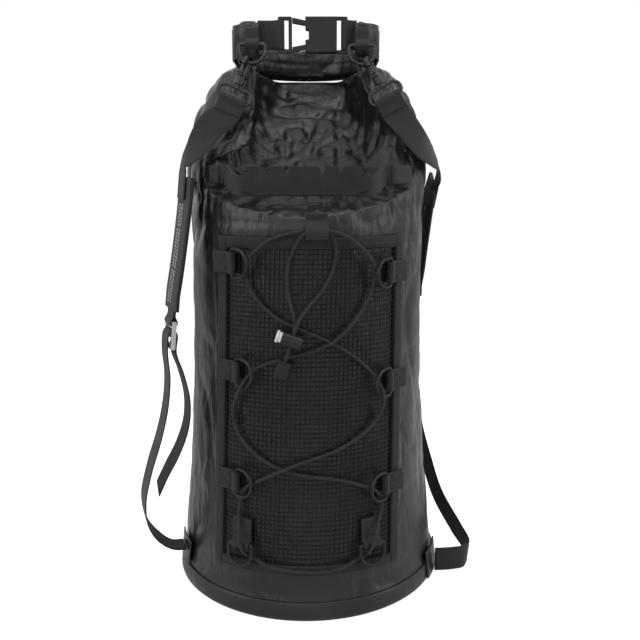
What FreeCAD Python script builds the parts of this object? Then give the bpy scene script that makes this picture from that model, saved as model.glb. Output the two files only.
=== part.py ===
import FreeCAD, Part
import os
from math import sin, cos, tan, asin, pi, radians, sqrt, copysign

Vec = FreeCAD.Vector

# Roll-top dry bag with two shoulder straps, in millimetres.
# The origin is the middle of the base on the floor, +Z is up and the laced panel faces -Y.

# Bag body: a tube of coated fabric on a round base
base_radius = 135.0
waist_radius = 116.0
waist_height = 330.0
front_waist = 121.0
back_waist = 142.0
lip_front = 128.0
lip_height = 366.0
shoulder_height = 400.0
shoulder_half = 120.0
shoulder_front = 125.0
shoulder_back = 138.0
neck_height = 505.0
neck_half = 66.0
neck_front = 66.0
neck_back = 86.0
fabric = 1.0
base_thick = 1.5
base_lip = 18.0
seam_gap = 0.3

# Closure: the top is rolled round a stiffener and its ends are buckled together in front
roll_height = 34.0
roll_thick = 14.0
roll_half = 60.0
roll_straight = 20.0
roll_front = -60.0
roll_corner = 13.0
roll_left_end = -43.0
roll_right_end = 46.0
roll_round = 4.5
stiffener_height = 20.0
stiffener_thick = 2.0
web = 25.0
web_thick = 1.4

# Side release buckle
buckle_height = 31.0
buckle_thick = 8.5
buckle_rise = 4.0
buckle_round = 1.6
socket_length = 28.0
socket_wall = 3.0
socket_skin = 1.6
slot_width = 6.5
slot_end = 2.6
bar_width = 3.0
bar_thick = 4.4
plug_left = -24.5
plug_beam = 3.0
arm_reach = 23.0
arm_thick = 4.4
barb_start = 9.6
barb_end = 21.5
buckle_play = 0.3

# Laced front panel
panel_bottom = 43.0
panel_top = 351.0
panel_arc = 93.0
panel_lean = 8.0
panel_thick = 1.0
binding_width = 10.0
binding_thick = 0.8
tab_web = 19.0
tab_thick = 1.2
tab_length = 24.0
top_loop_x = 10.0
top_loop_z = 356.0
top_loop_hole = 4.4
top_loop_length = 16.0

# D rings: on the panel's tabs, and at the ends of the roll
ring_wire = 1.6
ring_width = 25.0
ring_depth = 20.0
ring_corner = 2.5
ring_play = 0.25
ring_lift = 5.0
hang_ring_width = 23.0
hang_ring_depth = 16.0
hang_tab_web = 12.0
hang_tab_length = 14.0

# Shock cord, its lock and the clamp on its two ends
cord = 1.5
lock_radius = 6.5
lock_half = 9.0
lock_wall = 1.75
plunger_play = 0.1
plunger_travel = 3.0
plunger_out = 5.0
plunger_head = 5.6
cord_pitch = 3.4
cord_play = 0.3
lock_x = -11.0
lock_z = 263.0
lock_lift = 12.0
lock_lean = -18.0
lock_to_clamp = 19.0
clamp_width = 11.0
clamp_height = 15.0
clamp_thick = 8.0

# Carrying handle
grip_half = 55.0
grip_taper = 13.0
grip_low = 386.0
grip_height = 24.0
grip_thick = 10.0
grip_y = -107.0
notch_depth = 8.0
notch_width = 5.5
notches = (-47.0, -31.5, -15.5, 15.0, 30.5, 47.5)
handle_web = 18.0
handle_web_thick = 2.0
handle_axis_y = -86.0
handle_axis_z = 404.0
handle_reach = 76.0
anchor_web = 14.0
anchor_thick = 3.0

# Snap hooks, pads, strap adjusters and straps
hook_wire = 1.8
hook_half = 6.0
hook_straight = 12.0
hook_barrel = 4.2
hook_barrel_length = 8.0
hook_turn = 20.0
stem_radius = 1.9
stem_head = 2.8
stem_play = 0.06
loop_wire = 1.5
loop_width = 30.0
loop_depth = 11.0
hook_nose = 2.0
hook_slack = 1.2
gate_width = 3.0
pin_radius = 0.8
pad_width = 44.0
pad_thick = 4.0
adjuster_width = 33.0
adjuster_height = 26.0
adjuster_thick = 3.6
adjuster_side = 3.0
adjuster_bar = 3.2
middle_bar = 4.4
patch_thick = 1.5
pad_loop_length = 12.0
pad_overlay = 20.0
overlay_gap = 1.4

os.makedirs("parts", exist_ok=True)
nodes = {}


def lerp(a, b, t):
    return a + (b - a) * t


# Outline of the bag at a height, and the levels that its skin is lofted through

body_levels = [base_lip, panel_bottom, 120.0, 197.0, 274.0, panel_top, lip_height, 383.0, shoulder_height,
               420.0, 440.0, 460.0, 478.0, 491.0, 500.0]


def above_shoulder(z):
    return (z - shoulder_height) / (neck_height - shoulder_height)


def bowed(start, middle, end, t):
    """A parabola through three values, for t from 0 to 1."""
    return lerp(start, end, t) + 4 * (middle - (start + end) / 2) * t * (1 - t)


def bag_half(z):
    if z < waist_height:
        return waist_radius + (base_radius - waist_radius) * (1 - z / waist_height) ** 2
    if z < shoulder_height:
        t = (z - waist_height) / (shoulder_height - waist_height)
        return lerp(waist_radius, shoulder_half, t * t)
    return neck_half + (shoulder_half - neck_half) * sqrt(max(0.0, 1 - above_shoulder(z) ** 2))


def bag_front(z):
    if z < lip_height:
        return bowed(base_radius, front_waist, lip_front, z / lip_height)
    if z < shoulder_height:
        return lerp(lip_front, shoulder_front, (z - lip_height) / (shoulder_height - lip_height))
    return neck_front + (shoulder_front - neck_front) * max(0.0, 1 - above_shoulder(z)) ** 2.2


def bag_back(z):
    if z < shoulder_height:
        return bowed(base_radius, back_waist, shoulder_back, z / shoulder_height)
    return neck_back + (shoulder_back - neck_back) * sqrt(max(0.0, 1 - above_shoulder(z) ** 2))


def bag_point(z, angle, out=0.0):
    """A point on the bag, by its angle from the front towards +X, and how far it stands out."""
    s, c = sin(angle), cos(angle)
    power = 2.0 / (2.0 + 0.8 * max(0.0, above_shoulder(z)))
    depth = bag_front(z) if c > 0 else bag_back(z)
    x = (bag_half(z) + out) * copysign(abs(s) ** power, s)
    y = -(depth + out) * copysign(abs(c) ** power, c)
    return Vec(x, y, z)


def wall_point(z, angle, out=0.0):
    """A point on the bag as it is lofted, straight between two of its levels."""
    low = max(level for level in [0.0] + body_levels if level <= z)
    high = min(level for level in body_levels + [neck_height] if level > z)
    return bag_point(low, angle, out) * ((high - z) / (high - low)) + bag_point(high, angle, out) * ((z - low) / (high - low))


def bag_section(z, out=0.0, count=24):
    spline = Part.BSplineCurve()
    spline.interpolate([bag_point(z, 2 * pi * i / count, out) for i in range(count)], PeriodicFlag=True)
    return Part.Wire([spline.toShape()])


def polygon(points):
    return Part.makePolygon(list(points) + [points[0]])


def lofted(wires):
    return Part.makeLoft(wires, True, True)


def faceted(sections, closed=False):
    """A solid of flat faces that joins polygons of as many corners each, in order."""
    faces = [] if closed else [Part.Face(polygon(sections[0][::-1])), Part.Face(polygon(sections[-1]))]
    for near, far in zip(sections, sections[1:] + sections[:1 if closed else 0]):
        for i in range(len(near)):
            a, b, c, d = near[i], near[i - 1], far[i - 1], far[i]
            square = (b - a).cross(d - a)
            if abs((c - a).dot(square)) < 1e-7 * square.Length:
                faces.append(Part.Face(polygon([a, d, c, b])))
            elif 2 * i < len(near):
                faces += [Part.Face(polygon([a, d, c])), Part.Face(polygon([a, c, b]))]
            else:
                faces += [Part.Face(polygon([a, d, b])), Part.Face(polygon([b, d, c]))]
    solid = Part.makeSolid(Part.makeShell(faces))
    if solid.Volume > 0:
        return solid
    return faceted([section[::-1] for section in sections], closed)


def oriented(shape, origin, x_dir, z_dir):
    """Moves a shape from its own axes to an origin, an X direction and a direction near Z."""
    x = Vec(x_dir).normalize()
    y = Vec(z_dir).cross(x).normalize()
    z = x.cross(y)
    matrix = FreeCAD.Matrix(x.x, y.x, z.x, origin.x, x.y, y.y, z.y, origin.y, x.z, y.z, z.z, origin.z, 0, 0, 0, 1)
    shape = shape.copy()
    shape.Placement = FreeCAD.Placement(matrix).multiply(shape.Placement)
    return shape


def fused(shapes):
    return shapes[0].fuse(shapes[1:]).removeSplitter()


# Body: the stuffed tube with the valley where its front folds in, and the welded base

# The valley by height: its mouth's left and right edge, the depth of the wings' tips, the half
# widths behind them, the depth where it is widest, and its rear
valley = [
    (lip_height + 3.0, -30.0, 30.0, -128.0, 28.0, 28.0, -127.5, -126.0),
    (376.0, -62.0, 66.0, -124.0, 58.0, 62.0, -122.0, -116.0),
    (386.0, -86.0, 92.0, -106.0, 82.0, 88.0, -103.0, -92.0),
    (398.0, -97.0, 110.0, -80.0, 90.0, 104.0, -77.0, -62.0),
    (414.0, -84.0, 104.0, -79.0, 84.0, 95.0, -66.0, -40.0),
    (428.0, -48.0, 92.0, -79.0, 74.0, 86.0, -64.0, -22.0),
    (446.0, -43.0, 76.0, -72.0, 68.0, 76.0, -54.0, 2.0),
    (466.0, -43.0, 60.0, -62.0, 62.0, 67.0, -42.0, 26.0),
    (484.0, -43.0, 48.0, -57.0, 58.0, 61.0, -40.0, 48.0),
    (neck_height + 1.0, -42.0, 42.0, -50.0, 55.0, 55.0, -40.0, 76.0),
]


def valley_solid():
    wires = []
    for z, left, right, tip, half_left, half_right, wide, rear in valley:
        mouth, behind = -170.0, min(wide + 12.0, rear - 1.0)
        wires.append(polygon([
            Vec(left, mouth, z), Vec(right, mouth, z), Vec(right, tip, z), Vec(half_right, wide, z),
            Vec(half_right, behind, z), Vec(half_right * 0.55, rear, z), Vec(-half_left * 0.55, rear, z),
            Vec(-half_left, behind, z), Vec(-half_left, wide, z), Vec(left, tip, z)]))
    return lofted(wires)


def bag_loft(bottom, top, out=0.0):
    heights = [bottom] + [z for z in body_levels if bottom < z < top] + [top]
    return lofted([bag_section(z, out) for z in heights])


def make_body():
    nodes["body_tube"] = bag_loft(base_thick + seam_gap, neck_height).cut(valley_solid())
    cup = bag_loft(0.0, base_lip, seam_gap + fabric)
    nodes["base_panel"] = cup.cut(bag_loft(base_thick, base_lip + 5.0, seam_gap))


# Closure: roll, stiffener, webbing and buckle

roll_low = neck_height + seam_gap
roll_mid = roll_low + roll_height / 2
buckle_z = roll_mid + buckle_rise


def roll_path():
    """The roll's centre line seen from above: a U open to the front with its ends turned in."""
    z, r, side, front = roll_mid, roll_corner, roll_half, roll_front
    short = r * (1 - sqrt(0.5))
    rear = Vec(0, roll_straight + roll_half, z)
    left = [Vec(roll_left_end, front, z), Vec(r - side, front, z), Vec(short - side, front + short, z),
            Vec(-side, front + r, z), Vec(-side, roll_straight, z)]
    right = [Vec(side, roll_straight, z), Vec(side, front + r, z), Vec(side - short, front + short, z),
             Vec(side - r, front, z), Vec(roll_right_end, front, z)]
    return Part.Wire([Part.LineSegment(left[0], left[1]).toShape(), Part.Arc(*left[1:4]).toShape(),
                      Part.LineSegment(left[3], left[4]).toShape(), Part.Arc(left[4], rear, right[0]).toShape(),
                      Part.LineSegment(right[0], right[1]).toShape(), Part.Arc(*right[1:4]).toShape(),
                      Part.LineSegment(right[3], right[4]).toShape()])


def along_roll(thick, height, corner=0.0):
    """A strip that stands on edge and follows the roll, with cut corners where they are given."""
    t, h, c = thick / 2, height / 2, corner
    outline = [(-t, -h), (t, -h), (t, h), (-t, h)]
    if corner:
        outline = [(c - t, -h), (t - c, -h), (t, c - h), (t, h - c), (t - c, h), (c - t, h), (-t, h - c), (-t, c - h)]
    section = polygon([Vec(roll_left_end, roll_front + a, roll_mid + b) for a, b in outline])
    return roll_path().makePipeShell([section], True, False)


def disc(radius):
    """A polygon of sixteen sides whose flats touch a circle of the radius."""
    reach = radius / cos(pi / 16)
    return [Vec(reach * cos(pi * (i + 0.5) / 8), reach * sin(pi * (i + 0.5) / 8), 0) for i in range(16)]


def webbing_loop(hole, length, width, thick, seated=False):
    """Webbing round a bar along Z, with its two layers sewn together from there along -X."""
    outer = hole + thick
    middle = thick - outer if seated else 0.0
    neck = 1.6 * outer
    low, high = middle - thick, middle + thick
    start_low = -outer if seated else low
    band = [Vec(0, -outer, 0), Vec(-neck, start_low, 0), Vec(-length, low, 0), Vec(-length, high, 0),
            Vec(-neck, high, 0), Vec(0, outer, 0)]
    pocket = [Vec(0, -hole, 0), Vec(0, hole, 0), Vec(-neck * 0.8, middle, 0)]
    solids = [Part.Face(polygon(points)).extrude(Vec(0, 0, width)) for points in (disc(outer), band, disc(hole), pocket)]
    shape = solids[0].fuse(solids[1]).cut(solids[2].fuse(solids[3])).removeSplitter()
    shape.translate(Vec(0, 0, -width / 2))
    return shape


def round_bar(wide, thick):
    """The radius of the webbing's inside round a flat bar."""
    return sqrt(wide * wide + thick * thick) / 2 + ring_play


def block(x0, x1, y0, y1, z0, z1):
    return Part.makeBox(x1 - x0, y1 - y0, z1 - z0, Vec(x0, y0, z0))


def plate(points, thick, y):
    """A flat plate from its outline in X and Z, centred on a depth."""
    face = Part.Face(polygon([Vec(x, y - thick / 2, z) for x, z in points]))
    return face.extrude(Vec(0, thick, 0))


def mirrored(points):
    return [(x, -z) for x, z in points]


def make_buckle():
    y, z, half = roll_front, buckle_z, buckle_height / 2
    cave = half - socket_wall
    inside = cave - buckle_play
    body = block(0, socket_length, y - buckle_thick / 2, y + buckle_thick / 2, z - half, z + half)
    body = body.makeFillet(buckle_round, [e for e in body.Edges if abs(e.tangentAt(0).x) > 0.9])
    ladder = block(socket_length - 1, socket_length + slot_width + bar_width, y - bar_thick / 2, y + bar_thick / 2,
                   z - half, z + half)
    ladder = ladder.makeFillet(buckle_round, [e for e in ladder.Edges if abs(e.tangentAt(0).y) > 0.9])
    hollow = block(-1, socket_length - socket_wall, y - buckle_thick / 2 + socket_skin,
                   y + buckle_thick / 2 - socket_skin, z - cave, z + cave)
    windows = block(barb_start - buckle_play, barb_end + 2 * buckle_play, y - arm_thick / 2 - buckle_play,
                    y + arm_thick / 2 + buckle_play, z - half - 1, z + half + 1)
    slot = block(socket_length, socket_length + slot_width, y - bar_thick, y + bar_thick,
                 z - half + slot_end, z + half - slot_end)
    relief = plate([(-1, z - 5), (3, z - 4), (3, z + 4), (-1, z + 5)], 2 * buckle_thick, y)
    nodes["buckle_socket"] = body.fuse(ladder).cut(hollow).cut(windows).cut(slot).cut(relief).removeSplitter()

    beam = plug_left + bar_width + slot_width
    frame = block(plug_left, beam + plug_beam, y - bar_thick / 2, y + bar_thick / 2, z - half, z + half)
    frame = frame.makeFillet(buckle_round, [e for e in frame.Edges if abs(e.tangentAt(0).y) > 0.9])
    nodes["buckle_plug"] = frame.cut(block(plug_left + bar_width, beam, y - bar_thick, y + bar_thick,
                                           z - half + slot_end, z + half - slot_end))
    root = beam + plug_beam + buckle_play
    outer = half - 0.8
    arm = [(root, outer), (root, outer - 4.4), (2.0, inside - 4.4), (barb_end - 2, inside - 4.6),
           (arm_reach, inside - 3.0), (arm_reach, inside - 0.5), (barb_end, inside), (barb_end - 3, half - 0.5),
           (barb_start, half - 0.5), (barb_start, inside), (1.5, inside - 0.3)]
    for name, outline in (("buckle_arm_upper", arm), ("buckle_arm_lower", mirrored(arm))):
        nodes[name] = plate([(a, z + b) for a, b in outline], arm_thick, y)


def make_closure():
    roll = along_roll(roll_thick, roll_height, roll_round)
    pocket = along_roll(stiffener_thick + 2 * seam_gap, stiffener_height + 2 * seam_gap)
    nodes["roll_closure"] = roll.cut(pocket)
    nodes["stiffener_strip"] = along_roll(stiffener_thick, stiffener_height)
    hole = round_bar(bar_width, bar_thick)
    left_bar, right_bar = plug_left + bar_width / 2, socket_length + slot_width + bar_width / 2
    for name, bar, end, way in (("closure_webbing_left", left_bar, roll_left_end + seam_gap, 1),
                                ("closure_webbing_right", right_bar, roll_right_end - seam_gap, -1)):
        loop = webbing_loop(hole, abs(end - bar), web, web_thick)
        nodes[name] = oriented(loop, Vec(bar, roll_front, buckle_z), Vec(way, 0, 0), Vec(0, 0, 1))
    make_buckle()


# Bent wire of eight flat sides, for rings and hooks

def octagon(centre, direction, side, radius, sides=8):
    """A regular polygon's corners, square to a direction, whose flats touch a circle of the radius."""
    direction = Vec(direction).normalize()
    other = direction.cross(side).normalize()
    side = other.cross(direction)
    reach = radius / cos(pi / sides)
    turn = [pi * (2 * i + 1) / sides for i in range(sides)]
    return [centre + side * (reach * cos(a)) + other * (reach * sin(a)) for a in turn]


def bent_wire(section, moves, closed=False):
    """Carries a section along runs (a vector) and turns (a centre, an axis and an angle)."""
    sections = [section]
    for move in moves:
        if len(move) == 1:
            sections.append([p + move[0] for p in sections[-1]])
        else:
            centre, axis, angle = move
            steps = max(3, round(angle / 20))
            turn = FreeCAD.Rotation(axis, angle / steps)
            for _ in range(steps):
                sections.append([centre + turn.multVec(p - centre) for p in sections[-1]])
    return faceted(sections[:-1] if closed else sections, closed)


def wire_ring(width, depth, corner, far_corner, radius):
    """A closed ring in XZ: its straight bar lies on the Z axis and its far side towards +X."""
    half, y = width / 2, Vec(0, 1, 0)
    side, far = depth - corner - far_corner, width - 2 * far_corner
    start = octagon(Vec(0, 0, corner - half), Vec(0, 0, 1), Vec(1, 0, 0), radius)
    moves = [(Vec(0, 0, width - 2 * corner),), (Vec(corner, 0, half - corner), y, 90), (Vec(side, 0, 0),),
             (Vec(depth - far_corner, 0, half - far_corner), y, 90)]
    if far > 0.01:
        moves.append((Vec(0, 0, -far),))
    moves += [(Vec(depth - far_corner, 0, far_corner - half), y, 90), (Vec(-side, 0, 0),),
              (Vec(corner, 0, corner - half), y, 90)]
    return bent_wire(start, moves, True)


# Laced panel on the front

def strip_wire(z, start, end, lift, thick, count=9):
    """A thin curved strip's outline round the bag at a height."""
    angles = [lerp(start, end, i / (count - 1)) for i in range(count)]
    arcs = []
    for out, order in ((lift, angles), (lift + thick, angles[::-1])):
        spline = Part.BSplineCurve()
        spline.interpolate([bag_point(z, a, out) for a in order])
        arcs.append(spline)
    ends = [(arcs[0].EndPoint, arcs[1].StartPoint), (arcs[1].EndPoint, arcs[0].StartPoint)]
    links = [Part.LineSegment(a, b).toShape() for a, b in ends]
    return Part.Wire([arcs[0].toShape(), links[0], arcs[1].toShape(), links[1]])


def panel_angles(z, more=0.0):
    """The angles of the panel's left and right edge at a height."""
    radius = (bag_half(z) + bag_front(z)) / 2
    lean = panel_lean * (z - panel_bottom) / (panel_top - panel_bottom) / radius
    reach = (panel_arc + more) / radius
    return lean - reach, lean + reach


def curved_sheet(bottom, top, lift, thick, more=0.0):
    heights = [bottom] + [z for z in body_levels if bottom < z < top] + [top]
    return lofted([strip_wire(z, *panel_angles(z, more), lift, thick) for z in heights])


sheet_lift = seam_gap
binding_lift = sheet_lift + panel_thick + seam_gap
tab_lift = binding_lift + binding_thick + seam_gap
ring_hole = ring_wire / cos(pi / 8) + ring_play
bar_height = ring_hole + tab_thick


def make_panel():
    nodes["mesh_panel"] = curved_sheet(panel_bottom, panel_top, sheet_lift, panel_thick)
    low, high = panel_bottom + binding_width, panel_top - binding_width
    corners = []
    for z, side in ((low, 0), (low, 1), (high, 1), (high, 0)):
        corners.append(Vec(bag_point(z, panel_angles(z, -binding_width)[side]).x, 0, z))
    window = Part.Face(polygon(corners)).extrude(Vec(0, -200, 0))
    nodes["panel_binding"] = curved_sheet(panel_bottom, panel_top, binding_lift, binding_thick).cut(window)


def seat_frame(x, z, lift):
    """A point over the bag's front, with the level, outward and upward directions there."""
    angle = asin(x / (bag_half(z) + lift))
    level = (wall_point(z, angle + 0.01) - wall_point(z, angle - 0.01)).normalize()
    upward = (wall_point(z + 1, angle) - wall_point(z - 1, angle)).normalize()
    outward = level.cross(upward).normalize()
    return wall_point(z, angle) + outward * lift, level, outward, level.cross(outward) * -1


# Each ring of the panel: its bar's X, its middle's Z, and the way it points from its tab
panel_rings = {
    "ring_top_left": (-64.0, 328.0, "right"), "ring_middle_left": (-62.0, 230.0, "right"),
    "ring_lower_left": (-64.0, 127.0, "right"), "ring_bottom_left": (-60.0, 69.0, "down"),
    "ring_top_right": (76.0, 319.0, "left"), "ring_middle_right": (77.0, 219.0, "left"),
    "ring_lower_right": (74.0, 121.0, "left"), "ring_bottom_right": (61.0, 69.0, "down"),
}


def ring_frame(name):
    """A ring's bar centre, the way its tab points and the outward direction there."""
    bar_x, z, way = panel_rings[name]
    half, x = tab_length / 2, bar_x
    for _ in range(5):
        seat, level, outward, upward = seat_frame(x, z + half if way == "down" else z, tab_lift)
        point = {"down": upward * -1, "right": level, "left": level * -1}[way]
        centre = seat + point * half + outward * bar_height
        x += bar_x - centre.x
    return centre, point, outward


def make_panel_rings():
    ring = wire_ring(ring_width, ring_depth, ring_corner, ring_width / 2, ring_wire)
    tab = webbing_loop(ring_hole, tab_length, tab_web, tab_thick, True)
    tabs = []
    for name in panel_rings:
        centre, point, outward = ring_frame(name)
        tabs.append(oriented(tab, centre, point, point.cross(outward)))
        leaning = point * cos(radians(ring_lift)) + outward * sin(radians(ring_lift))
        nodes[name] = oriented(ring, centre, leaning, leaning.cross(outward))
    nodes["ring_tabs"] = Part.makeCompound(tabs)


def top_loop_frame():
    seat, level, outward, upward = seat_frame(top_loop_x, top_loop_z, tab_lift)
    return seat + outward * (top_loop_hole + tab_thick), upward * -1, outward


def make_top_loop():
    centre, point, outward = top_loop_frame()
    loop = webbing_loop(top_loop_hole, top_loop_length, tab_web, tab_thick, True)
    nodes["top_loop"] = oriented(loop, centre, point, point.cross(outward))


# Shock cord: points chosen by hand as X, Z and the height over the bag's front

cord_route = [
    (-4.0, 283.0, 12.2), (4.0, 293.0, 8.0), (14.0, 304.0, 4.4), (22.0, 317.0, 3.4), (26.5, 331.0, 3.6),
    (27.0, 345.0, 5.2), (22.0, 355.4, 6.2), (10.0, 357.0, 6.3), (-3.0, 356.4, 6.2), (-17.0, 353.6, 4.8),
    (-31.0, 348.5, 4.9), (-42.0, 340.0, 10.6), (-50.2, 329.2, 7.2), (-52.0, 317.0, 3.8), (-47.0, 304.0, 3.3),
    (-38.0, 291.5, 3.6), (-23.0, 279.5, 3.6), (-6.0, 271.5, 3.6), (12.0, 264.5, 3.7), (30.0, 255.5, 3.6),
    (46.0, 243.0, 3.6), (58.5, 230.5, 3.4), (67.0, 219.0, 8.4), (71.7, 206.0, 15.4), (68.0, 191.0, 5.6),
    (60.0, 179.0, 3.5), (44.0, 167.5, 3.8), (24.0, 158.5, 3.7), (4.0, 152.5, 3.7), (-14.0, 146.5, 6.6),
    (-29.0, 140.0, 8.4), (-41.2, 133.3, 9.3), (-53.4, 125.9, 6.4), (-59.5, 113.5, 2.9), (-61.5, 100.6, 5.7),
    (-61.5, 87.0, 8.6), (-60.5, 73.8, 13.3), (-57.5, 62.1, 8.0), (-47.2, 56.6, 2.5), (-32.1, 53.0, 8.2),
    (-13.0, 49.5, 4.7), (8.0, 48.5, 4.8), (29.2, 50.5, 8.5), (49.4, 57.1, 2.9), (58.5, 62.1, 7.9),
    (62.5, 73.8, 13.3), (66.0, 86.9, 8.9), (69.4, 98.2, 6.4), (70.1, 108.1, 2.4), (64.5, 119.4, 6.0),
    (52.2, 126.9, 9.6), (39.5, 131.0, 6.4), (23.0, 134.5, 3.5), (4.0, 137.0, 3.7), (-16.0, 140.5, 3.6),
    (-34.0, 147.5, 3.6), (-50.0, 158.0, 3.5), (-62.0, 171.5, 3.4), (-67.0, 187.5, 3.2), (-64.0, 203.0, 6.2),
    (-58.3, 216.8, 13.4), (-51.0, 228.5, 8.0), (-40.5, 237.0, 3.4), (-25.0, 243.0, 3.7), (-7.0, 248.0, 3.6),
    (10.0, 253.0, 5.6), (25.0, 260.0, 7.0), (38.0, 271.0, 5.2), (49.5, 285.0, 3.4), (56.0, 299.0, 3.4),
    (59.5, 310.5, 4.6), (61.5, 322.1, 7.5), (56.5, 333.5, 11.8), (47.0, 343.5, 7.6), (36.0, 352.0, 6.8),
    (24.0, 356.8, 9.5), (11.0, 357.4, 9.9), (0.0, 355.6, 9.5), (-8.0, 344.5, 5.4), (-13.5, 330.0, 3.6),
    (-15.5, 314.0, 3.6), (-14.0, 299.0, 5.2), (-9.5, 285.5, 8.6),
]


def over_front(x, z, height):
    return wall_point(z, asin(x / (bag_half(z) + height)), height)


def lock_frame():
    """The cord lock's centre, its axis, the way its strands go up, and the outward direction."""
    seat, level, outward, upward = seat_frame(lock_x, lock_z, lock_lift)
    lean = radians(lock_lean)
    axis = level * cos(lean) + upward * sin(lean)
    strands = level * -sin(lean) + upward * cos(lean)
    return seat, axis, strands, outward


def cord_points():
    seat, axis, strands, outward = lock_frame()
    shift = outward * (cord_pitch / 2)
    first = [seat - strands * lock_to_clamp + shift, seat + shift, seat + strands * 11.0 + shift]
    last = [seat + strands * 11.0 - shift, seat - shift, seat - strands * lock_to_clamp - shift]
    return first[:1] + first[2:] + [over_front(*p) for p in cord_route] + last[:1] + last[2:]


def rounded_path(points):
    """Straight runs joined by tangent arcs, each as large as its two runs allow."""
    edges, radii, here = [], [], points[0]
    for before, corner, after in zip(points, points[1:], points[2:]):
        back, ahead = before - corner, after - corner
        half_turn = (pi - back.getAngle(ahead)) / 2
        reach = 0.45 * min(back.Length, ahead.Length)
        radius = reach / tan(half_turn)
        radii.append(radius)
        start = corner + Vec(back).normalize() * reach
        end = corner + Vec(ahead).normalize() * reach
        inward = (Vec(back).normalize() + Vec(ahead).normalize()).normalize()
        middle = corner + inward * (radius / cos(half_turn) - radius)
        edges.append(Part.LineSegment(here, start).toShape())
        edges.append(Part.Arc(start, middle, end).toShape())
        here = end
    edges.append(Part.LineSegment(here, points[-1]).toShape())
    return Part.Wire(edges), radii


def make_cord():
    points = cord_points()
    path, radii = rounded_path(points)
    section = polygon(octagon(points[0], points[1] - points[0], Vec(1, 0, 0), cord * cos(pi / 6), 6))
    tube = path.makePipeShell([section], True, False)
    area = Part.Face(section).Area
    print("shock cord: length %.0f, tightest radius %.1f, volume against section times length %.4f"
          % (path.Length, min(radii), tube.Volume / (area * path.Length)))
    nodes["shock_cord"] = tube


def make_cord_lock():
    bore = lock_radius - lock_wall
    slim = bore - plunger_play
    hole_x, hole_z = cord + cord_play, cord_pitch / 2 + cord + cord_play
    barrel = Part.makeCylinder(lock_radius, 2 * lock_half, Vec(-lock_half, 0, 0), Vec(1, 0, 0))
    barrel = barrel.makeChamfer(1.0, [barrel.Edges[0], barrel.Edges[2]])
    barrel = barrel.cut(Part.makeCylinder(bore, 2 * lock_half - lock_wall, Vec(-lock_half, 0, 0), Vec(1, 0, 0)))
    barrel = barrel.cut(block(-hole_x, hole_x, -2 * lock_radius, 2 * lock_radius, -hole_z, hole_z))
    inner_end = 3.0
    pin = Part.makeCylinder(slim, lock_half + plunger_out + inner_end, Vec(-lock_half - plunger_out, 0, 0), Vec(1, 0, 0))
    head = Part.makeCylinder(plunger_head, plunger_out - plunger_travel - buckle_play,
                             Vec(-lock_half - plunger_out, 0, 0), Vec(1, 0, 0))
    pin = pin.fuse(head).removeSplitter()
    pin = pin.cut(block(-hole_x - plunger_travel, hole_x, -2 * lock_radius, 2 * lock_radius, -hole_z, hole_z))
    room = lock_half - lock_wall - inner_end - 2 * plunger_play
    spring = Part.makeCylinder(slim - 0.3, room, Vec(inner_end + plunger_play, 0, 0), Vec(1, 0, 0))
    spring = spring.cut(Part.makeCylinder(slim - 1.1, room, Vec(inner_end + plunger_play, 0, 0), Vec(1, 0, 0)))
    seat, axis, strands, outward = lock_frame()
    for name, shape in (("cord_lock_barrel", barrel), ("cord_lock_plunger", pin), ("cord_lock_spring", spring)):
        nodes[name] = oriented(shape, seat, axis, outward)
    clamp = block(-clamp_width / 2, clamp_width / 2, -clamp_height, 0, -clamp_thick / 2, clamp_thick / 2)
    clamp = clamp.makeChamfer(1.2, [e for e in clamp.Edges if abs(e.tangentAt(0).y) > 0.9])
    nodes["cord_clamp"] = oriented(clamp, seat - strands * lock_to_clamp, axis, outward)


# Carrying handle

def ribbon(points, widths, width, thick):
    """A flat strap through points, each with the direction of its width there."""
    sections = []
    for i, point in enumerate(points):
        ahead = points[min(i + 1, len(points) - 1)] - points[max(i - 1, 0)]
        across = Vec(widths[i]).normalize()
        face_dir = ahead.cross(across).normalize()
        across = face_dir.cross(ahead).normalize()
        w, t = across * (width / 2), face_dir * (thick / 2)
        sections.append([point - w - t, point + w - t, point + w + t, point - w + t])
    return faceted(sections)


def make_handle():
    high = grip_low + grip_height
    outline = [(-grip_half, grip_low + 5), (grip_taper - grip_half, grip_low), (grip_half - grip_taper, grip_low),
               (grip_half, grip_low + 5), (grip_half, grip_low + 12), (grip_half - 6, high - 3)]
    top = [(grip_half - grip_taper / 2, high)]
    for x in reversed(notches):
        if abs(x) + notch_width / 2 < grip_half - grip_taper / 2:
            top += [(x + notch_width / 2, high), (x, high - notch_depth), (x - notch_width / 2, high)]
    outline += top + [(grip_taper / 2 - grip_half, high), (6 - grip_half, high - 3), (-grip_half, grip_low + 12)]
    grip = plate(outline, grip_thick, grip_y)
    middle = grip_low + (grip_height - notch_depth) / 2
    room = handle_web / 2 + seam_gap
    sleeve = block(-grip_half - 1, grip_half + 1, grip_y - handle_web_thick / 2 - seam_gap,
                   grip_y + handle_web_thick / 2 + seam_gap, middle - room, middle + room)
    nodes["handle_grip"] = grip.cut(sleeve)
    right = [Vec(grip_half + 1.5, grip_y, middle), Vec(grip_half + 7, grip_y + 5, middle + 2),
             Vec(handle_reach - 4.5, handle_axis_y, handle_axis_z), Vec(handle_reach, handle_axis_y, handle_axis_z)]
    points = [Vec(-p.x, p.y, p.z) for p in right[::-1]] + right
    nodes["handle_strap"] = ribbon(points, [Vec(0, 0, 1)] * len(points), handle_web, handle_web_thick)


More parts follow.
